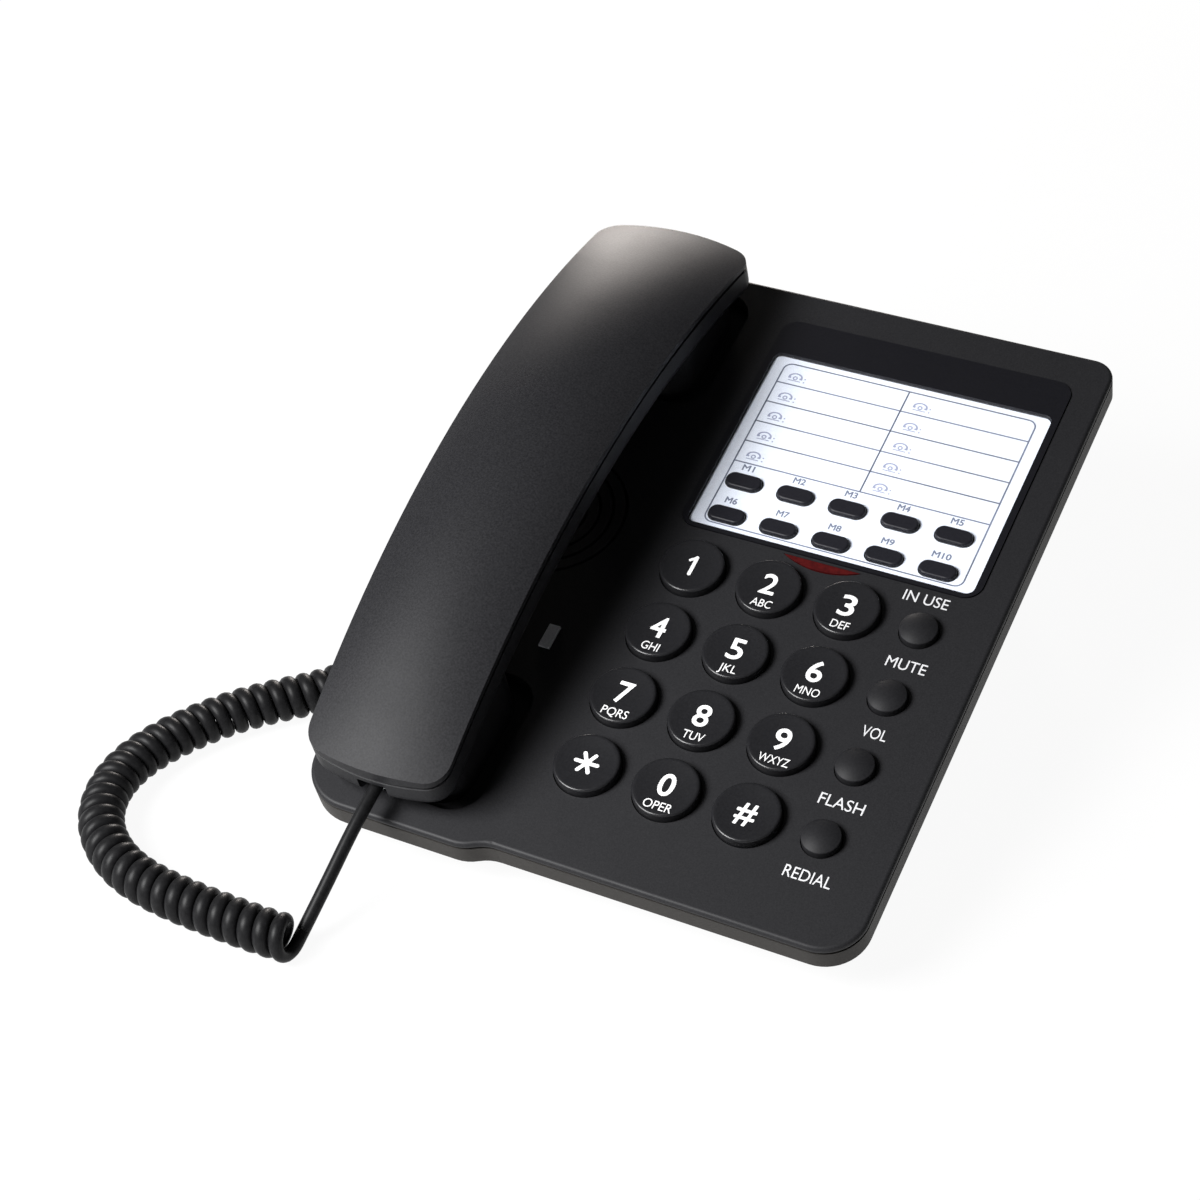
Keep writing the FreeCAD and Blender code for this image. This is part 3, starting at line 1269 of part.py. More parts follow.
cup_middle = half_handset - dim.cup_inset - dim.cup_length / 2
channel_width = dim.mouth_width - 2 * (dim.handset_wall + dim.handset_groove)
handset_screw_places = [(0, -dim.handset_screw_y), (0, dim.handset_screw_y)]
screw_part = arch_height(dim.handset_screw_y, arch_radius)
socket_front = cup_middle + dim.cup_length / 2 - dim.handset_wall
socket_half = dim.plug_width / 2 + dim.jack_wall
socket_tall = dim.plug_height / 2 + dim.jack_wall
socket_z = dim.plug_hole_z
handset_seat = screw_part - dim.grip_depth + dim.handset_wall
microphone_y = dim.microphone_back - cup_middle


# What the handset holds: sounder, microphone, weight bar and the cord's socket.
def make_capsule(name, diameter, depth, y):
    body = new_body(name)
    side = new_sketch(body, "side", plane="XZ_Plane")
    radius = diameter / 2
    face, magnet = radius * 0.9, radius * 0.7
    bevel, back = depth * 0.15, depth * 0.6
    profile(side, [
        (0, 0), (face, 0), (radius, bevel), (radius, back),
        (magnet, back), (magnet, depth), (0, depth),
    ])
    revolve(body, "turned", side)
    body.Placement = handset_frame.multiply(Placement(
        Vector(0, float(y), float(dim.handset_wall - dim.well_depth)), Rotation()))
    return body


def make_handset_weight():
    body = new_body("handset_weight")
    bar = arch_strip(body, "bar", arch_radius - dim.handset_wall,
                     arch_radius - dim.grip_depth + dim.handset_wall, dim.grip_bar / 2)
    pad(body, "bar_pad", bar, channel_width * 0.6, symmetric=True)
    body.Placement = handset_frame
    return body


def make_handset_socket():
    body = new_body("handset_socket")
    block = new_sketch(body, "block", plane="XZ_Plane", height=socket_front)
    rectangle(block, -socket_half, socket_z - socket_tall, socket_half, socket_z + socket_tall)
    pad(body, "block_pad", block, dim.plug_length, down=True)
    opening = new_sketch(body, "opening", plane="XZ_Plane", height=socket_front)
    half = dim.plug_width / 2 + slip_gap
    tall = dim.plug_height / 2 + slip_gap
    rectangle(opening, -half, socket_z - tall, half, socket_z + tall)
    pocket(body, "opening_cut", opening, dim.plug_length - dim.jack_wall)
    body.Placement = handset_frame
    return body


# Cord. The coil's axis and the tail follow points chosen by hand, in table coordinates.
coil_route = [
    (-82, -29, 9.4), (-86, -37, 8.2), (-91.5, -44.5, 7), (-98, -51.5, 6.4), (-106, -58.5, 6.2),
    (-113.5, -66.5, 6.2), (-120, -76, 6.2), (-125, -86, 6.2), (-128, -96.5, 6.2), (-127.5, -107.5, 6.2),
    (-123, -118, 6.2), (-115, -126, 6.2), (-105, -131.3, 6.2), (-94, -133.6, 6.2), (-83, -134.4, 6.2),
    (-72, -134.7, 6.2), (-61, -134.7, 6.2), (-54.5, -134.3, 6.2),
]
tail_route = [(-53.3, -119.4, 10.9), (-52.5, -107.6, 18.4)]
cord_radius = float(dim.cord_diameter) / 2
curl_radius = float(dim.coil_diameter) / 2 - cord_radius


# Two tangent arcs from one point and direction to another, each given by three points on it.
def biarc(start, heading, end, arrival):
    span = end - start
    along = span.dot(heading + arrival)
    bend = 2 * (1 - heading.dot(arrival))
    leg = (math.sqrt(along * along + bend * span.dot(span)) - along) / bend
    first = start + heading * leg
    second = end - arrival * leg
    meeting = (first + second) / 2
    return [bow(start, first, meeting), bow(meeting, second, end)]


# The arc from start to end whose tangents there meet at the apex.
def bow(start, apex, end):
    middle = (start + end) / 2
    rise = (apex - middle).Length
    leg = (apex - start).Length
    sine = rise / leg
    cosine = math.sqrt(1 - sine * sine)
    radius = leg * cosine / sine
    return Part.Arc(start, middle + (apex - middle) * (radius * (1 - cosine) / rise), end).toShape()


def straight(start, end):
    return Part.LineSegment(start, end).toShape()


# The coil's axis with a frame that turns as little as it can, carried from the far end to the near.
def axis_frames(axis, steps):
    length = axis.length()
    frames = []
    normal = Vector(0, 1, 0)
    for step in range(steps, -1, -1):
        place = axis.parameterAtDistance(length * step / steps, axis.FirstParameter)
        forward = Vector(*axis.tangent(place)[0])
        normal = normal - forward * normal.dot(forward)
        normal.normalize()
        frames.append((axis.value(place), forward, normal, forward.cross(normal)))
    frames.reverse()
    return frames


def tube_along(name, edges, diameter):
    path = Part.Wire(edges)
    start = edges[0].firstVertex().Point
    heading = edges[0].lastVertex().Point - start
    ring = Part.Wire([Part.Circle(start, heading, diameter / 2).toShape()])
    pipe = Part.BRepOffsetAPI.MakePipeShell(path)
    pipe.add(ring)
    pipe.build()
    pipe.makeSolid()
    tube = doc.addObject("Part::Feature", name)
    tube.Label = name
    tube.Shape = pipe.shape()
    tube.Placement = Placement()
    ratio = tube.Shape.Volume / (math.pi * diameter * diameter / 4 * path.Length)
    print("%s: length %.1f mm, volume over section times length %.4f" % (name, path.Length, ratio))
    return tube, path


def make_cord_coil(plug_end):
    axis = Part.BSplineCurve()
    axis.buildFromPoles([Vector(*point) for point in coil_route], False, 2)
    centre, forward, normal, upward = axis_frames(axis, 400)[-1]
    aim = Vector(*tail_route[0])
    reach = Vector((aim - centre).dot(normal), (aim - centre).dot(upward), 0)
    last_angle = math.atan2(reach.y, reach.x) - math.acos(curl_radius / reach.Length)
    nearest, onward, side, over = axis_frames(axis, 400)[0]
    first_angle = math.atan2(over.z, side.z)
    turn = 2 * math.pi
    spare = (last_angle - first_angle) / turn % 1
    turns = round(axis.length() / float(dim.curl_pitch) - spare) + spare
    halves = round(2 * turns)
    step = turn * turns / halves
    finer = 8
    frames = axis_frames(axis, halves * finer)

    def curl_point(place):
        middle, ahead, across, upright = frames[place]
        angle = first_angle + step * place / finer
        return middle + (across * math.cos(angle) + upright * math.sin(angle)) * curl_radius

    def curl_heading(place):
        middle, ahead, across, upright = frames[place]
        angle = first_angle + step * place / finer
        around = upright * math.cos(angle) - across * math.sin(angle)
        heading = around * curl_radius + ahead * (axis.length() / (turns * turn))
        heading.normalize()
        return heading

    nodes = [(curl_point(place), curl_heading(place)) for place in range(0, halves * finer + 1, finer)]
    last_point = nodes[-1][0]
    leaving = aim - last_point
    leaving.normalize()
    nodes[-1] = (last_point, leaving)
    lead_end = plug_end + Vector(-float(dim.cord_lead), 0, 0)
    nodes.insert(0, (lead_end, Vector(-1, 0, 0)))
    coil_end = last_point + leaving * float(dim.cord_diameter)
    edges = [straight(plug_end, lead_end)]
    for (start, heading), (end, arrival) in zip(nodes, nodes[1:]):
        edges += biarc(start, heading, end, arrival)
    edges.append(straight(last_point, coil_end))
    radii = [edge.Curve.Radius for edge in edges[1:-1]]
    print("cord_coil: %.1f curls, arc radii %.2f to %.2f mm" % (turns, min(radii), max(radii)))
    tube, path = tube_along("cord_coil", edges, float(dim.cord_diameter))
    print("cord_coil: least gap to itself %.2f mm" % least_gap(path))
    return tube, coil_end


# Least gap of a wound tube to itself, between points more than half a curl apart along it.
def least_gap(path):
    spacing = cord_radius / 2
    points = path.discretize(Distance=spacing)
    skip = int(math.pi * curl_radius / spacing)
    least = float("inf")
    for place, point in enumerate(points):
        for other in points[place + skip:place + 4 * skip]:
            least = min(least, (point - other).Length)
    return least - 2 * cord_radius


# Tail: straight runs joined by arcs as large as the runs allow.
def make_cord_tail(coil_end, plug_end, plug_heading):
    points = [coil_end] + [Vector(*point) for point in tail_route]
    points += [plug_end + plug_heading * (1.5 * float(dim.cord_lead)), plug_end]
    edges = []
    here = points[0]
    for before, point, after in zip(points, points[1:], points[2:]):
        incoming, outgoing = point - before, after - point
        shorter = min(incoming.Length, outgoing.Length)
        incoming.normalize()
        outgoing.normalize()
        cut = 0.45 * shorter
        arc = bow(point - incoming * cut, point, point + outgoing * cut)
        print("cord_tail: arc radius %.1f mm" % arc.Curve.Radius)
        edges += [straight(here, point - incoming * cut), arc]
        here = point + outgoing * cut
    edges.append(straight(here, points[-1]))
    tube, path = tube_along("cord_tail", edges, float(dim.cord_diameter))
    return tube


# Assembly
pieces = [
    make_top_housing(),
    make_bottom_housing(),
    make_index_frame(),
    make_card_sheet("index_card", -dim.recess_depth, dim.card_thickness),
    make_card_sheet("index_window", dim.card_thickness - dim.recess_depth, dim.window_thickness),
    make_lamp_lens(),
    make_lamp_led(),
    make_keypad_mat(),
    make_main_board(),
    make_ringer_speaker(),
    make_hook_switch(),
    make_hook_plunger(),
    make_hanger_tab(),
    make_handset_jack(),
    make_line_jack(),
    make_base_weight(),
    make_rubber_feet(),
]
pieces.append(make_screws("housing_screws", screw_places, screw_seat, dim.screw_length,
                          dim.screw_shank, dim.screw_head, deck_frame))
pieces.append(make_screws("board_screws", board_posts, board_bottom, dim.board_screw,
                          dim.board_pilot - slip_gap, dim.board_screw_head, deck_frame))
dial_names = ("1", "2", "3", "4", "5", "6", "7", "8", "9", "star", "0", "hash")
for number, name in enumerate(dial_names):
    pieces.append(make_dial_key("key_" + name, key_columns[number % 3], key_rows[number // 3]))
for name, y in zip(("mute", "volume", "flash", "redial"), key_rows):
    pieces.append(make_function_key("key_" + name, y))
for number, (x, y) in enumerate(memory_places, start=1):
    pieces.append(make_memory_key("memory_key_%d" % number, x, y))
pieces += [
    make_handset_upper_shell(),
    make_handset_lower_shell(),
    make_capsule("receiver_capsule", dim.receiver_diameter, dim.receiver_depth, cup_middle),
    make_capsule("microphone", dim.microphone_diameter, dim.microphone_depth, microphone_y),
    make_handset_weight(),
    make_handset_socket(),
]
pieces.append(make_screws("handset_screws", handset_screw_places, handset_seat, dim.screw_length,
                          dim.screw_shank, dim.screw_head, handset_frame))

base_plug_frame = on_deck(-jack_face - dim.plug_out, dim.jack_y, jack_z)
handset_plug_frame = handset_frame.multiply(Placement(
    Vector(0, float(dim.plug_sunk - half_handset), float(socket_z)), Rotation(Vector(0, 0, 1), 90)))
collar_end = Vector(-float(dim.collar_length), 0, 0)
pieces.append(make_plug("base_plug", base_plug_frame))
pieces.append(make_plug("handset_plug", handset_plug_frame))
cord_coil, coil_end = make_cord_coil(base_plug_frame.multVec(collar_end))
pieces.append(cord_coil)
pieces.append(make_cord_tail(
    coil_end, handset_plug_frame.multVec(collar_end),
    handset_plug_frame.Rotation.multVec(Vector(-1, 0, 0))))

# Checks, then one file for each piece
doc.recompute()
for item in doc.Objects:
    if "Invalid" in item.State or "Error" in item.State:
        raise RuntimeError(item.Label + " did not build: " + item.getStatusString())
os.makedirs("parts", exist_ok=True)
for piece in pieces:
    if piece.Shape.isNull() or not piece.Shape.isValid() or piece.Shape.Volume <= 0:
        raise RuntimeError(piece.Label + " has no valid solid")
    piece.Shape.exportStep("parts/" + piece.Label + ".step")
print("%d pieces written" % len(pieces))
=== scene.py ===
import json
import math

import bmesh
import bpy
from mathutils import Matrix, Vector
from mathutils.bvhtree import BVHTree
from mathutils.geometry import delaunay_2d_cdt


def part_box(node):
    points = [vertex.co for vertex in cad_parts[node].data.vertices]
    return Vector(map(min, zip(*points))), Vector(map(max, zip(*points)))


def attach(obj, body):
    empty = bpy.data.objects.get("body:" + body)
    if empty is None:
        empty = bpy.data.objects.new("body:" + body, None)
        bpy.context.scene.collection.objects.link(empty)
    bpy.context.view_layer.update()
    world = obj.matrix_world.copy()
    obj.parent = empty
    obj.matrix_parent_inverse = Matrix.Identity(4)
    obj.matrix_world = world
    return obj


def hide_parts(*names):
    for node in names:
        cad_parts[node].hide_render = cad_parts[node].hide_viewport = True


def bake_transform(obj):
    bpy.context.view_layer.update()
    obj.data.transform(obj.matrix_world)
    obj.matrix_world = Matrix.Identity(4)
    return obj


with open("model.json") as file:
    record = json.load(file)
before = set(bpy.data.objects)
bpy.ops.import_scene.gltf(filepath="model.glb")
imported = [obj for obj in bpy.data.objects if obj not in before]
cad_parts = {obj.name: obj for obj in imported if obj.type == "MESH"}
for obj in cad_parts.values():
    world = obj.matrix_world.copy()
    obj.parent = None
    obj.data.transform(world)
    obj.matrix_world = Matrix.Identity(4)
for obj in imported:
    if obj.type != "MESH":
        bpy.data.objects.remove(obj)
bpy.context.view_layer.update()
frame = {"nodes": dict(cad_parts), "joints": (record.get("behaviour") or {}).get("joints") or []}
nodes = frame["nodes"]


# Bottom housing: the tub that everything is built into, with the rim that shows under the deck's edge.
# Injection-moulded ABS, coloured lighter and warmer than the deck as a painted reflection of the white
# table on the rim's sides. The mould was spark-eroded, so the skin has a fine dry grain.


# A colour as it would be picked from a paint card, 0 to 255, turned into linear light.
def shade(red, green, blue):
    parts = [part / 255 for part in (red, green, blue)]
    linear = [part / 12.92 if part <= 0.04045 else ((part + 0.055) / 1.055) ** 2.4 for part in parts]
    return (*linear, 1.0)


# A finish whose colour wanders between two shades, with a grain of the given size and depth in metres.
def grained(name, dark, light, grain, depth, roughness, **sockets):
    material = bpy.data.materials.new(name)
    material.use_nodes = True
    tree = material.node_tree
    shader = tree.nodes["Principled BSDF"]
    place = tree.nodes.new("ShaderNodeTexCoord")
    specks = tree.nodes.new("ShaderNodeTexNoise")
    specks.inputs["Scale"].default_value = 1 / grain
    specks.inputs["Detail"].default_value = 3
    tree.links.new(place.outputs["Object"], specks.inputs["Vector"])
    tint = tree.nodes.new("ShaderNodeValToRGB")
    for stop, position, colour in zip(tint.color_ramp.elements, (0.3, 0.7), (dark, light)):
        stop.position = position
        stop.color = colour
    tree.links.new(specks.outputs["Fac"], tint.inputs["Fac"])
    tree.links.new(tint.outputs["Color"], shader.inputs["Base Color"])
    clouds = tree.nodes.new("ShaderNodeTexNoise")
    grains_per_cloud = 50
    clouds.inputs["Scale"].default_value = 1 / (grains_per_cloud * grain)
    tree.links.new(place.outputs["Object"], clouds.inputs["Vector"])
    polish = tree.nodes.new("ShaderNodeMapRange")
    spread = 0.1
    polish.inputs["To Min"].default_value = roughness * (1 - spread)
    polish.inputs["To Max"].default_value = min(1, roughness * (1 + spread))
    tree.links.new(clouds.outputs["Fac"], polish.inputs["Value"])
    tree.links.new(polish.outputs["Result"], shader.inputs["Roughness"])
    relief = tree.nodes.new("ShaderNodeBump")
    relief.inputs["Distance"].default_value = depth
    tree.links.new(specks.outputs["Fac"], relief.inputs["Height"])
    tree.links.new(relief.outputs["Normal"], shader.inputs["Normal"])
    for socket, value in sockets.items():
        shader.inputs[socket.replace("_", " ")].default_value = value
    return material


def dress(material, *names):
    for name in names:
        nodes[name].data.materials.clear()
        nodes[name].data.materials.append(material)


# The rim's lighter, warmer shade is painted reflection of the white table, not the plastic's own tone.
rim_grey_painted_reflection = grained("rim_grey_abs", shade(44, 42, 40), shade(51, 49, 47), 0.0004, 0.00002, 0.5,
                   Specular_IOR_Level=0.12)
dress(rim_grey_painted_reflection, "bottom_housing")


# Feet, weight and screws: four rubber discs on the floor, a zinc-plated steel plate on its inside,
# and self-tapping cross-head screws from below.
rubber = grained("foot_rubber", shade(22, 22, 22), shade(34, 33, 32), 0.0006, 0.00004, 0.8)
plated_steel = grained("plated_steel", shade(150, 150, 152), shade(182, 183, 186), 0.0005, 0.00001, 0.35,
                       Metallic=1.0)
dress(rubber, "rubber_feet")
dress(plated_steel, "base_weight", "housing_screws", "board_screws")


# Works under the deck: circuit board with green resist, rubber dome mat, lamp, ringer and hook switch.
# They are sealed in, and only the ringer shows, through the grille.
resist = grained("green_resist", shade(18, 74, 40), shade(28, 92, 50), 0.002, 0.00001, 0.4)
mat_rubber = grained("mat_rubber", shade(70, 71, 74), shade(84, 85, 88), 0.0008, 0.00003, 0.7)
lamp_resin = grained("lamp_resin", shade(140, 20, 18), shade(165, 30, 26), 0.001, 0.000005, 0.2)
black_plastic = grained("black_nylon", shade(15, 15, 16), shade(24, 24, 25), 0.0005, 0.00002, 0.45)
ringer_cone = grained("ringer_cone", shade(18, 18, 19), shade(30, 30, 31), 0.0007, 0.00005, 0.85)
dress(resist, "main_board")
dress(mat_rubber, "keypad_mat")
dress(lamp_resin, "lamp_led")
dress(ringer_cone, "ringer_speaker")
dress(black_plastic, "hook_switch")


# Sockets: a four-way jack in the left wall for the handset cord and a six-way one in the back wall.
# Black nylon blocks, let into windows of the tub.
dress(black_plastic, "handset_jack", "line_jack")


# Top housing: the sloping deck with the cradle wells, ring grille and key holes, in charcoal ABS,
# held by four screws from below. A light grey insert and the hook's plunger stand in the cradle.
charcoal = grained("charcoal_abs", shade(27, 27, 29), shade(36, 36, 38), 0.0004, 0.00002, 0.5,
                   Specular_IOR_Level=0.2)
insert_grey = grained("insert_grey", shade(176, 178, 182), shade(192, 194, 198), 0.0006, 0.00002, 0.5)
dress(charcoal, "top_housing")
dress(insert_grey, "hanger_tab")
dress(black_plastic, "hook_plunger")


# Name card set: satin bezel, card stock behind a clear sheet, all dropped into the deck's recess.
# The card is printed in blue-grey with ten slots, a telephone sign in each, and the keys' numbers.

MM = 0.001
deck_normal = Vector(next(joint["axis"] for joint in frame["joints"] if joint["name"] == "handset_lift"))
deck_turn = Matrix.Rotation(math.atan2(-deck_normal.y, deck_normal.z), 3, "X")


# A node's lowest and highest corner in the deck's own directions: right, back, and out of the deck.
def deck_box(name):
    points = [deck_turn.transposed() @ vertex.co for vertex in nodes[name].data.vertices]
    low = Vector([min(point[axis] for point in points) for axis in range(3)])
    high = Vector([max(point[axis] for point in points) for axis in range(3)])
    return low, high


def deck_centre(name):
    low, high = deck_box(name)
    return (low + high) / 2


# Overlapping flat shapes, melted into one sheet without doubled faces.
def melt(sheet, corners, faces):
    nearness = 0.001 * MM
    points, _, patches = delaunay_2d_cdt(corners, [], faces, 1, nearness)[:3]
    knots = [sheet.verts.new((point.x, point.y, 0)) for point in points]
    drawn = BVHTree.FromPolygons([(corner.x, corner.y, 0) for corner in corners], faces)
    for patch in patches:
        middle = sum((points[place] for place in patch), Vector((0, 0))) / len(patch)
        if drawn.ray_cast(Vector((middle.x, middle.y, MM)), Vector((0, 0, -1)))[0]:
            sheet.faces.new([knots[place] for place in patch])
    loose = [knot for knot in knots if not knot.link_faces]
    bmesh.ops.delete(sheet, geom=loose, context="VERTS")


# Words in the built-in face, brought to a width and cap height, centred at a place on the deck.
# A weight thickens every stroke by that much all round.
def set_words(sheet, words, width, height, across, along, weight=0.0):
    cap_share = 0.69
    text = bpy.data.curves.new(words, "FONT")
    text.body = words
    text.resolution_u = 5
    carrier = bpy.data.objects.new(words, text)
    bpy.context.scene.collection.objects.link(carrier)
    letters = bpy.data.meshes.new_from_object(carrier)
    bpy.data.objects.remove(carrier)
    letters.calc_loop_triangles()
    xs = [vertex.co.x for vertex in letters.vertices]
    middle_x, span = (min(xs) + max(xs)) / 2, max(xs) - min(xs)
    scale_x = (width - 2 * weight) / span
    scale_y = (height - 2 * weight) / cap_share
    drawn = []
    for vertex in letters.vertices:
        drawn.append(Vector((across + (vertex.co.x - middle_x) * scale_x,
                             along + (vertex.co.y - cap_share / 2) * scale_y)))
    shifts = [Vector((0, 0))]
    if weight:
        copies = 8
        turns = [math.tau * step / copies for step in range(copies)]
        shifts += [Vector((math.cos(turn), math.sin(turn))) * weight for turn in turns]
    corners, faces = [], []
    for shift in shifts:
        for triangle in letters.loop_triangles:
            faces.append([len(corners) + place for place in triangle.vertices])
        corners += [corner + shift for corner in drawn]
    melt(sheet, corners, faces)
    bpy.data.meshes.remove(letters)


# A flat print in deck directions is laid on its carrier's skin and becomes a film of ink
# that rides with it.
def lay_print(name, sheet, carrier, body, ink):
    clear_height, ink_lift, ink_thickness = 10 * MM, 0.01 * MM, 0.03 * MM
    mesh = nodes[carrier].data
    skin = BVHTree.FromPolygons([vertex.co for vertex in mesh.vertices],
                                [face.vertices for face in mesh.polygons])
    above = deck_box(carrier)[1].z + clear_height
    for vertex in sheet.verts:
        start = deck_turn @ Vector((vertex.co.x, vertex.co.y, above))
        landing = skin.ray_cast(start, -deck_normal)[0]
        vertex.co = landing + deck_normal * ink_lift
    film = bpy.data.meshes.new(name)
    sheet.to_mesh(film)
    sheet.free()
    film.materials.append(ink)
    piece = bpy.data.objects.new(name, film)
    bpy.context.scene.collection.objects.link(piece)
    body_of_ink = piece.modifiers.new("ink", "SOLIDIFY")
    body_of_ink.thickness = ink_thickness
    body_of_ink.offset = 1
    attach(piece, body)
    return piece


def strip(sheet, left, front, right, back):
    corners = [(left, front), (right, front), (right, back), (left, back)]
    sheet.faces.new([sheet.verts.new((x, y, 0)) for x, y in corners])


def rounded_corners(left, front, right, back, radius, steps=6):
    corners = [(right, front, -90), (right, back, 0), (left, back, 90), (left, front, 180)]
    points = []
    for x, y, start in corners:
        middle_x = x - math.copysign(radius, x - (left + right) / 2)
        middle_y = y - math.copysign(radius, y - (front + back) / 2)
        for step in range(steps + 1):
            angle = math.radians(start + 90 * step / steps)
            points.append((middle_x + radius * math.cos(angle), middle_y + radius * math.sin(angle)))
    return points


def band(sheet, outer, inner):
    outer = [sheet.verts.new((x, y, 0)) for x, y in outer]
    inner = [sheet.verts.new((x, y, 0)) for x, y in inner]
    for place in range(len(outer)):
        sheet.faces.new([outer[place - 1], outer[place], inner[place], inner[place - 1]])


bezel_satin = grained("bezel_satin", shade(16, 16, 20), shade(21, 21, 25), 0.0005, 0.00001, 0.4,
                      Specular_IOR_Level=0.25)
card_stock = grained("card_stock", shade(224, 230, 243), shade(232, 238, 250), 0.001, 0.000005, 0.6)
clear_sheet = grained("clear_sheet", shade(245, 248, 252), shade(250, 252, 255), 0.003, 0.0, 0.06,
                      Alpha=0.04)
card_ink = grained("blue_grey_ink", shade(92, 100, 124), shade(112, 120, 142), 0.0004, 0.000002, 0.5)
sign_ink = grained("pale_ink", shade(140, 146, 174), shade(156, 162, 188), 0.0004, 0.000002, 0.5)
dress(bezel_satin, "index_frame")
dress(card_stock, "index_card")
dress(clear_sheet, "index_window")
window_gap = 0.04 * MM
air_gap = nodes["index_window"].modifiers.new("air_gap", "DISPLACE")
air_gap.strength = -window_gap
air_gap.mid_level = 0

card_low, card_high = deck_box("index_card")
border_side, border_front, border_back = 3.5 * MM, 1.9 * MM, 1.7 * MM
border_corner = 2.6 * MM
line_width = 0.42 * MM
slot_height = 7.5 * MM
slot_rows = 5
left, right = card_low.x + border_side, card_high.x - border_side
front, back = card_low.y + border_front, card_high.y - border_back
middle = (left + right) / 2
card_lines = bmesh.new()
band(card_lines, rounded_corners(left, front, right, back, border_corner),
     rounded_corners(left + line_width, front + line_width, right - line_width, back - line_width,
                     border_corner - line_width))
for row in range(1, slot_rows + 1):
    y = back - slot_height * row
    strip(card_lines, left + line_width, y - line_width / 2, right - line_width, y + line_width / 2)
strip(card_lines, middle - line_width / 2, back - slot_height * slot_rows + line_width / 2,
      middle + line_width / 2, back - line_width)
number_rise, number_shift = 5.2 * MM, -0.85 * MM
number_height, number_width, number_weight = 2.1 * MM, 1.75 * MM, 0.07 * MM
for number in range(1, 11):
    words = "M%d" % number
    place = deck_centre("memory_key_%d" % number)
    set_words(card_lines, words, number_width * len(words), number_height,
              place.x + number_shift, place.y + number_rise, number_weight)
lay_print("card_lines", card_lines, "index_card", "base", card_ink)

sign_inset, sign_width, sign_height = 2.7 * MM, 4.2 * MM, 2.8 * MM
sign_line = 0.28 * MM


# A small telephone sign: a handset bowed over a body with a round dial, and a colon after it.
def telephone_sign(sheet, x, y):
    half = sign_width / 2
    arch_flatness, arch_steps = 0.75, 10
    dial_share, dial_hole, dial_steps = 0.35, 0.5, 12
    colon_rise = 1.2 * MM
    arch = []
    for rim in (half, half - 2 * sign_line):
        arch.append([(x + rim * math.cos(angle), y + arch_flatness * rim * math.sin(angle))
                     for angle in (math.pi * step / arch_steps for step in range(arch_steps + 1))])
    outer, inner = ([sheet.verts.new((px, py, 0)) for px, py in line] for line in arch)
    for place in range(arch_steps):
        sheet.faces.new([outer[place], outer[place + 1], inner[place + 1], inner[place]])
    for side in (-1, 1):
        ear = x + side * (half - 1.5 * sign_line)
        strip(sheet, ear - 1.5 * sign_line, y - 2 * sign_line, ear + 1.5 * sign_line, y)
    dial = dial_share * half
    ring = [(x + dial * math.cos(angle), y - sign_line + dial * math.sin(angle))
            for angle in (math.tau * step / dial_steps for step in range(dial_steps))]
    hole = [(x + (px - x) * dial_hole, y - sign_line + (py - y + sign_line) * dial_hole) for px, py in ring]
    band(sheet, ring, hole)
    foot = y - sign_height / 2
    strip(sheet, x - half + sign_line, foot, x + half - sign_line, foot + sign_line)
    for rise in (0, colon_rise):
        dot = x + half + 2 * sign_line
        strip(sheet, dot, foot + rise, dot + 1.5 * sign_line, foot + rise + 1.5 * sign_line)


signs = bmesh.new()
sign_drop = 0.62 * slot_height
for column in (left, middle):
    for row in range(slot_rows):
        telephone_sign(signs, column + sign_inset + sign_width / 2, back - slot_height * row - sign_drop)
lay_print("card_signs", signs, "index_card", "base", sign_ink)


# Lamp lens: a crescent of dark red acrylic under the card, pressed into a slot of the deck.
# A lamp lights it from behind when the line is in use.
lens_red = grained("lens_red", shade(54, 13, 14), shade(74, 18, 18), 0.0012, 0.00003, 0.25,
                   Specular_IOR_Level=0.2)
dress(lens_red, "lamp_lens")


# Dial keys: twelve dished round keys of dark ABS, polished a little brighter than the deck.
# They stand on the rubber domes of the mat, and their white figures and letters are pad-printed.
key_satin = grained("key_satin", shade(24, 24, 26), shade(31, 31, 33), 0.0005, 0.00001, 0.28,
                    Specular_IOR_Level=0.3)
white_ink = grained("white_ink", shade(222, 222, 222), shade(236, 236, 236), 0.0004, 0.000004, 0.5)
figure_height, figure_rise = 6.6 * MM, 0.75 * MM
letter_height, letter_drop, letter_shift = 2.6 * MM, 5.7 * MM, 0.4 * MM
figure_width, hash_width = 4.3 * MM, 5.4 * MM
letter_widths = {"ABC": 5.7, "DEF": 5.0, "GHI": 4.9, "JKL": 4.8, "MNO": 6.6, "PQRS": 7.3,
                 "TUV": 5.8, "WXYZ": 8.2, "OPER": 7.75}
figure_weight = 0.14 * MM
dial_signs = {
    "key_1": ("1", ""), "key_2": ("2", "ABC"), "key_3": ("3", "DEF"),
    "key_4": ("4", "GHI"), "key_5": ("5", "JKL"), "key_6": ("6", "MNO"),
    "key_7": ("7", "PQRS"), "key_8": ("8", "TUV"), "key_9": ("9", "WXYZ"),
    "key_star": ("*", ""), "key_0": ("0", "OPER"), "key_hash": ("#", ""),
}


# A stroke with round ends, from one point to another.
def stroke(start, end, thickness, steps=6):
    heading = math.atan2(end[1] - start[1], end[0] - start[0])
    outline = []
    for tip, turn in ((end, -math.pi / 2), (start, math.pi / 2)):
        for step in range(steps + 1):
            angle = heading + turn + math.pi * step / steps
            outline.append(Vector((tip[0] + thickness / 2 * math.cos(angle),
                                   tip[1] + thickness / 2 * math.sin(angle))))
    return outline


def draw_strokes(sheet, outlines):
    corners, faces = [], []
    for outline in outlines:
        faces.append(list(range(len(corners), len(corners) + len(outline))))
        corners += outline
    melt(sheet, corners, faces)


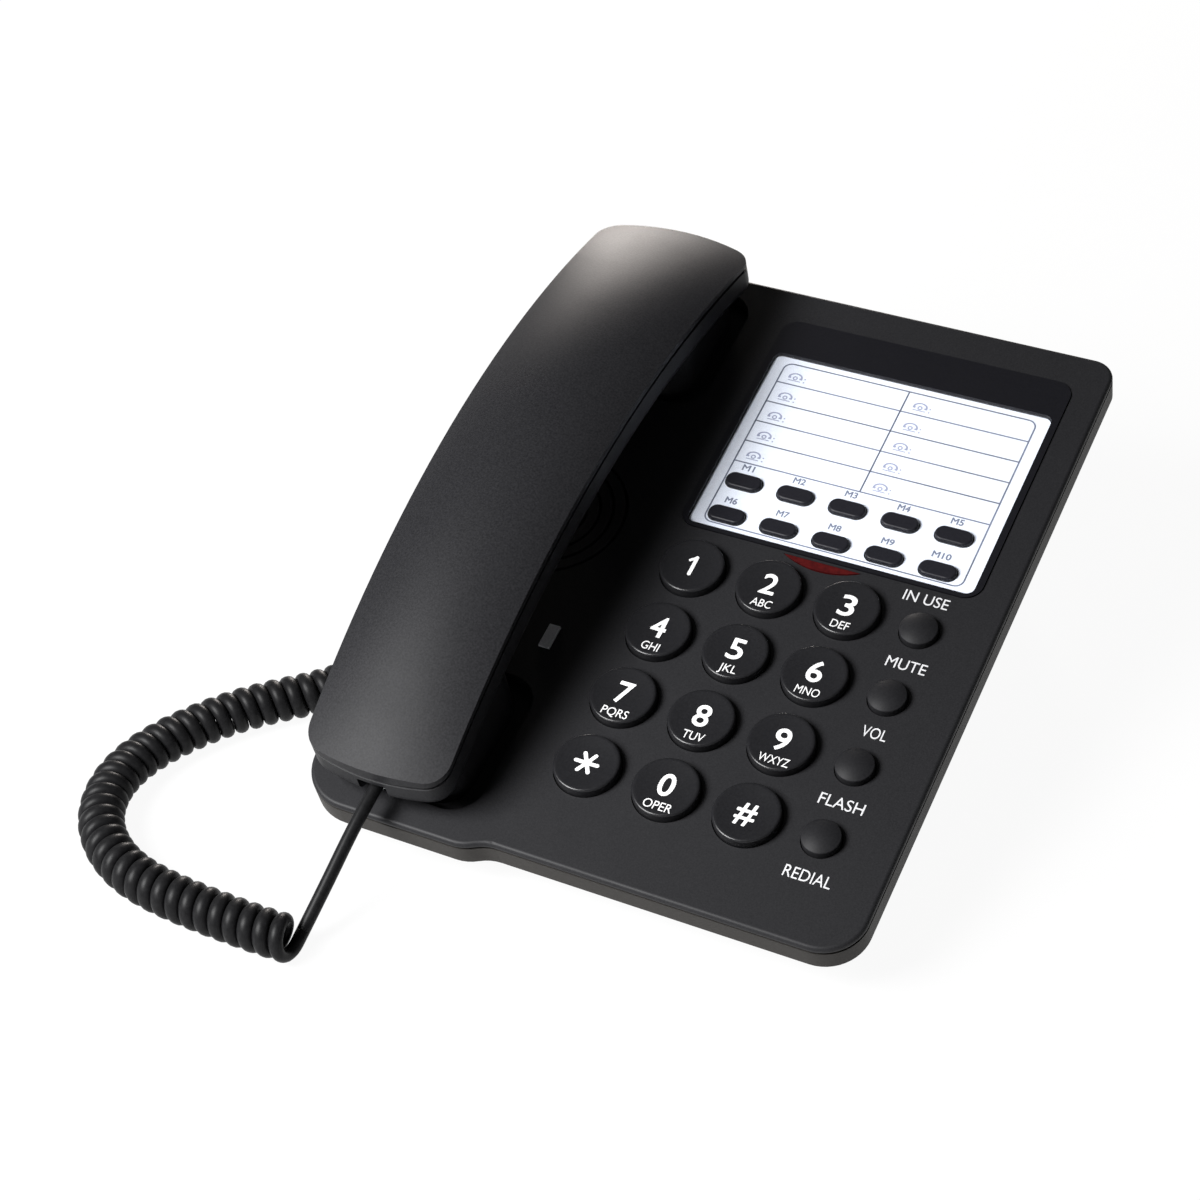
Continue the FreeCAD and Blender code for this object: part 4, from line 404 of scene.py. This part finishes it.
star_arm, stroke_width = 3 * MM, 1.05 * MM
flag_reach, flag_drop, flag_width = 1.5 * MM, 1.2 * MM, 0.84 * MM
stem_shift = 0.3 * MM
for key, (figure, letters) in dial_signs.items():
    dress(key_satin, key)
    place = deck_centre(key)
    print_sheet = bmesh.new()
    if figure == "*":
        arms = [Vector((math.cos(angle), math.sin(angle))) * star_arm
                for angle in (0, math.pi / 3, 2 * math.pi / 3)]
        middle_of_star = Vector((place.x, place.y))
        draw_strokes(print_sheet, [stroke(middle_of_star - arm, middle_of_star + arm, stroke_width)
                                   for arm in arms])
    elif figure == "1":
        stem = place.x + stem_shift
        half = (figure_height - stroke_width) / 2
        top = (stem, place.y + half)
        draw_strokes(print_sheet, [
            stroke((stem, place.y - half), top, stroke_width),
            stroke((stem - flag_reach, place.y + half - flag_drop), top, flag_width),
        ])
    else:
        width = hash_width if figure == "#" else figure_width
        rise = figure_rise if letters else 0
        set_words(print_sheet, figure, width, figure_height, place.x, place.y + rise, figure_weight)
    if letters:
        set_words(print_sheet, letters, letter_widths[letters] * MM, letter_height,
                  place.x + letter_shift, place.y - letter_drop)
    lay_print(key + "_print", print_sheet, key, key, white_ink)


# Function keys: four domed buttons of dark satin ABS down the right side, on domes of the same mat.
# Their words are printed on the deck below them, in a duller white than the figures.
label_height, label_drop, label_shift = 3.3 * MM, 10.7 * MM, 0.7 * MM
lamp_label_width, lamp_label_rise, lamp_label_shift = 12.2 * MM, 10.4 * MM, -1.9 * MM
label_ink = grained("label_ink", shade(200, 200, 202), shade(214, 214, 216), 0.0004, 0.000004, 0.5)
dome_satin = grained("dome_satin", shade(25, 25, 27), shade(32, 32, 34), 0.0005, 0.00001, 0.5,
                     Specular_IOR_Level=0.15)
labels = bmesh.new()
for key, words, width in (
    ("key_mute", "MUTE", 10.7), ("key_volume", "VOL", 6.6),
    ("key_flash", "FLASH", 11.8), ("key_redial", "REDIAL", 12.4),
):
    dress(dome_satin, key)
    place = deck_centre(key)
    set_words(labels, words, width * MM, label_height, place.x + label_shift, place.y - label_drop)
lamp_label = deck_centre("key_mute")
set_words(labels, "IN USE", lamp_label_width, label_height, lamp_label.x + lamp_label_shift,
          lamp_label.y + lamp_label_rise)
lay_print("deck_labels", labels, "top_housing", "base", label_ink)


# Memory keys: ten oval buttons of bluish black ABS that come up through the card and its window.
# They stand on the same rubber mat as the dial keys.
memory_satin = grained("memory_satin", shade(25, 25, 30), shade(31, 31, 36), 0.0005, 0.00001, 0.4,
                       Specular_IOR_Level=0.2)
dress(memory_satin, *("memory_key_%d" % number for number in range(1, 11)))


# Handset: two charcoal shells screwed together from inside the grip, with the sounder, microphone,
# weight bar and cord socket between them.
handset_grain = grained("handset_abs", shade(25, 25, 27), shade(38, 38, 40), 0.0005, 0.00002, 0.48,
                        Specular_IOR_Level=0.1)
dress(handset_grain, "handset_upper_shell", "handset_lower_shell")
dress(plated_steel, "handset_weight", "handset_screws", "microphone")
dress(black_plastic, "receiver_capsule", "handset_socket")


# Plugs: clear four-way modular plugs of polycarbonate, crimped on both ends of the cord.
# One sits in the left wall's jack and one in the handset's socket.
plug_resin = grained("plug_resin", shade(150, 154, 156), shade(176, 180, 182), 0.002, 0.000005, 0.12,
                     Alpha=0.55)
dress(plug_resin, "base_plug", "handset_plug")


# Curly cord: one vinyl cord, wound on a mandrel so that it springs back into close curls.
# The coil lies on the table from the base's plug round to the front of the cradle.
vinyl = grained("cord_vinyl", shade(19, 19, 20), shade(26, 26, 27), 0.001, 0.00001, 0.4,
                Specular_IOR_Level=0.1)
cord_diameter = 3.5 * MM
curl_radius = 4.4 * MM
curl_pitch = 4.3 * MM
plug_lead = 4 * MM
coil_route = [
    (-0.082, -0.029, 0.0094), (-0.086, -0.037, 0.0082), (-0.0915, -0.0445, 0.007),
    (-0.098, -0.0515, 0.0064), (-0.106, -0.0585, 0.0062), (-0.1135, -0.0665, 0.0062),
    (-0.12, -0.076, 0.0062), (-0.125, -0.086, 0.0062), (-0.128, -0.0965, 0.0062),
    (-0.1275, -0.1075, 0.0062), (-0.123, -0.118, 0.0062), (-0.115, -0.126, 0.0062),
    (-0.105, -0.1313, 0.0062), (-0.094, -0.1336, 0.0062), (-0.083, -0.1344, 0.0062),
    (-0.072, -0.1347, 0.0062), (-0.061, -0.1347, 0.0062), (-0.0545, -0.1343, 0.0062),
]
tail_route = [(-0.0533, -0.1194, 0.0109), (-0.0525, -0.1076, 0.0184)]


def smooth_curve(name, points, fineness):
    curve = bpy.data.curves.new(name, "CURVE")
    curve.dimensions = "3D"
    spline = curve.splines.new("NURBS")
    spline.points.add(len(points) - 1)
    for knot, point in zip(spline.points, points):
        knot.co = (*point, 1)
    spline.order_u = 3
    spline.use_endpoint_u = True
    spline.resolution_u = fineness
    piece = bpy.data.objects.new(name, curve)
    bpy.context.scene.collection.objects.link(piece)
    return piece


def points_along(name, points, fineness):
    line = smooth_curve(name, points, fineness)
    mesh = bpy.data.meshes.new_from_object(line)
    found = [vertex.co.copy() for vertex in mesh.vertices]
    bpy.data.objects.remove(line)
    bpy.data.meshes.remove(mesh)
    return found


coil_fineness = 72
axis = points_along("coil_axis", coil_route, coil_fineness)
headings = [(after - before).normalized() for before, after in zip(axis, axis[1:])]
headings.append(headings[-1])
distances = [0.0]
for before, after in zip(axis, axis[1:]):
    distances.append(distances[-1] + (after - before).length)


# Sideways and upward directions across the coil where it runs along the heading.
def across_coil(heading):
    sideways = Vector((0, 0, 1)).cross(heading).normalized()
    return sideways, heading.cross(sideways)


sideways, upward = across_coil(headings[-1])
aim = Vector(tail_route[0])
reach = aim - axis[-1]
bearing = Vector((reach.dot(sideways), reach.dot(upward)))
first_angle = math.pi / 2
last_angle = math.atan2(bearing.y, bearing.x) - math.acos(curl_radius / bearing.length)
spare_turn = (last_angle - first_angle) / math.tau % 1
curls = round(distances[-1] / curl_pitch - spare_turn) + spare_turn
plug_low, plug_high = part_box("base_plug")
plug_end = Vector((plug_low.x, (plug_low.y + plug_high.y) / 2, (plug_low.z + plug_high.z) / 2))
cord_points = [plug_end, plug_end - Vector((plug_lead / 2, 0, 0)), plug_end - Vector((plug_lead, 0, 0))]
for centre, heading, distance in zip(axis, headings, distances):
    sideways, upward = across_coil(heading)
    angle = first_angle + math.tau * curls * distance / distances[-1]
    cord_points.append(centre + (sideways * math.cos(angle) + upward * math.sin(angle)) * curl_radius)
leaving = (aim - cord_points[-1]).normalized()
coil_end = cord_points[-1] + leaving * cord_diameter
cord_points.append(coil_end)


# The curls lie close, so each is pressed into a flat oval as wide as the room it has beside the next.
pitch = distances[-1] / curls
shortest_step = 0.001 * MM
bends = [(after - before) / max((there - here).length, shortest_step)
         for before, after, here, there in zip(headings, headings[1:], axis, axis[1:])]
bends.append(bends[-1])
oval_fill, oval_thickness = 0.97, 3.4 * MM
ring_steps = 14
lead_points = 3
curl_sheet = bmesh.new()
rings = []
for place, point in enumerate(cord_points):
    before = cord_points[max(place - 1, 0)]
    after = cord_points[min(place + 1, len(cord_points) - 1)]
    along = (after - before).normalized()
    turn = place - lead_points
    on_coil = 0 <= turn < len(axis)
    centre = axis[min(max(turn, 0), len(axis) - 1)]
    outward = point - centre
    if not on_coil:
        outward = cord_points[lead_points] - axis[0] if turn < 0 else cord_points[-2] - axis[-1]
    outward = (outward - along * outward.dot(along)).normalized()
    beside = along.cross(outward)
    room = pitch
    if on_coil:
        room *= 1 - (point - centre).dot(bends[turn])
    settle = min(turn, len(axis) - 1 - turn) / (len(axis) / curls) if on_coil else 0
    settle = min(max(settle, 0), 1)
    half_wide = cord_diameter / 2 + settle * (oval_fill * room - cord_diameter) / 2
    half_thick = cord_diameter / 2 + settle * (oval_thickness - cord_diameter) / 2
    ring = []
    for step in range(ring_steps):
        angle = math.tau * step / ring_steps
        rim = point + beside * (half_wide * math.cos(angle)) + outward * (half_thick * math.sin(angle))
        ring.append(curl_sheet.verts.new(rim))
    rings.append(ring)
for ring, following in zip(rings, rings[1:]):
    for step in range(ring_steps):
        face = curl_sheet.faces.new([ring[step - 1], ring[step], following[step], following[step - 1]])
        face.smooth = True
curl_sheet.faces.new(rings[0])
curl_sheet.faces.new(list(reversed(rings[-1])))
bmesh.ops.recalc_face_normals(curl_sheet, faces=curl_sheet.faces)
curl_mesh = bpy.data.meshes.new("cord_curls")
curl_sheet.to_mesh(curl_mesh)
curl_sheet.free()
coil = bpy.data.objects.new("cord_curls", curl_mesh)
bpy.context.scene.collection.objects.link(coil)
curl_mesh.materials.append(vinyl)
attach(coil, "base")
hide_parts("cord_coil")


# The cord's straight end: it leaves the last curl and climbs to the socket in the handset's mouth end.
handset_end = Vector((-0.052, -0.0929, 0.02457))
handset_lead = handset_end + deck_turn @ Vector((0, -1.5 * plug_lead, 0))
tail_points = [coil_end, *tail_route, handset_lead, handset_end]
tail_fineness = 12
tail_line = points_along("tail_line", tail_points, tail_fineness)
tail_curve = smooth_curve("tail_curve", tail_points, tail_fineness)
tail_curve.data.bevel_depth = cord_diameter / 2
tail_curve.data.bevel_resolution = 5
tail_curve.data.use_fill_caps = True
tail = bpy.data.objects.new("cord_end", bpy.data.meshes.new_from_object(tail_curve))
bpy.data.objects.remove(tail_curve)
bpy.context.scene.collection.objects.link(tail)
tail.data.materials.append(vinyl)
for face in tail.data.polygons:
    face.use_smooth = True
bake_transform(tail)
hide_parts("cord_tail")


# Studio: a wide white table in a dim surround, with a soft box at the front left and a small warm one
# low behind. To the camera and in reflections, the table is nearly even white.
table = bpy.data.meshes.new("table")
table_size = 40.0
sheet = bmesh.new()
bmesh.ops.create_grid(sheet, x_segments=1, y_segments=1, size=table_size)
sheet.to_mesh(table)
sheet.free()
floor = bpy.data.objects.new("table", table)
bpy.context.scene.collection.objects.link(floor)
table_white = grained("table_white", shade(246, 246, 246), shade(250, 250, 250), 0.01, 0.00001, 0.7,
                      Specular_IOR_Level=0.0)
floor.data.materials.append(table_white)
tree = table_white.node_tree
glow = tree.nodes.new("ShaderNodeEmission")
rays = tree.nodes.new("ShaderNodeLightPath")
even_white = 0.94
share = tree.nodes.new("ShaderNodeMath")
share.operation = "MULTIPLY"
share.inputs[1].default_value = even_white
either = tree.nodes.new("ShaderNodeMath")
either.operation = "MAXIMUM"
tree.links.new(rays.outputs["Is Camera Ray"], either.inputs[0])
tree.links.new(rays.outputs["Is Glossy Ray"], either.inputs[1])
any_of_three = tree.nodes.new("ShaderNodeMath")
any_of_three.operation = "MAXIMUM"
tree.links.new(either.outputs[0], any_of_three.inputs[0])
tree.links.new(rays.outputs["Is Transmission Ray"], any_of_three.inputs[1])
tree.links.new(any_of_three.outputs[0], share.inputs[0])
lit = tree.nodes.new("ShaderNodeMixShader")
tree.links.new(share.outputs[0], lit.inputs["Fac"])
tree.links.new(tree.nodes["Principled BSDF"].outputs[0], lit.inputs[1])
tree.links.new(glow.outputs[0], lit.inputs[2])
tree.links.new(lit.outputs[0], tree.nodes["Material Output"].inputs["Surface"])

world = bpy.data.worlds.new("surround")
bpy.context.scene.world = world
world.use_nodes = True
tree = world.node_tree
surround = tree.nodes["Background"]
surround.inputs["Color"].default_value = (1, 1, 1, 1)
surround.inputs["Strength"].default_value = 0.07


def soft_box(name, place, aim, size, power, tint=(1, 1, 1)):
    lamp = bpy.data.lights.new(name, "AREA")
    lamp.shape = "SQUARE"
    lamp.size = size
    lamp.energy = power
    lamp.color = tint
    lantern = bpy.data.objects.new(name, lamp)
    lantern.location = place
    lantern.rotation_euler = (Vector(aim) - Vector(place)).to_track_quat("-Z", "Y").to_euler()
    bpy.context.scene.collection.objects.link(lantern)


phone_middle = (0, -0.02, 0.04)
soft_box("front_box", (-0.36, -0.46, 0.5), phone_middle, 0.35, 12.5)
soft_box("back_box", (-0.42, 0.72, 0.2), phone_middle, 0.2, 4.5, (1, 0.93, 0.88))

camera = bpy.data.cameras.new("camera")
camera.sensor_width = 36
camera.lens = 77.4
camera.clip_start = 0.05
view = bpy.data.objects.new("camera", camera)
view_place = Vector((0.22577, -0.49323, 0.45986))
view_azimuth = math.radians(27.96)
view_elevation = math.radians(38.12)
view_roll = math.radians(-2.36)
view.matrix_world = (
    Matrix.Translation(view_place)
    @ Matrix.Rotation(view_azimuth, 4, "Z")
    @ Matrix.Rotation(math.pi / 2 - view_elevation, 4, "X")
    @ Matrix.Rotation(view_roll, 4, "Z")
)
bpy.context.scene.collection.objects.link(view)
bpy.context.scene.camera = view
bpy.context.scene.view_settings.view_transform = "Standard"
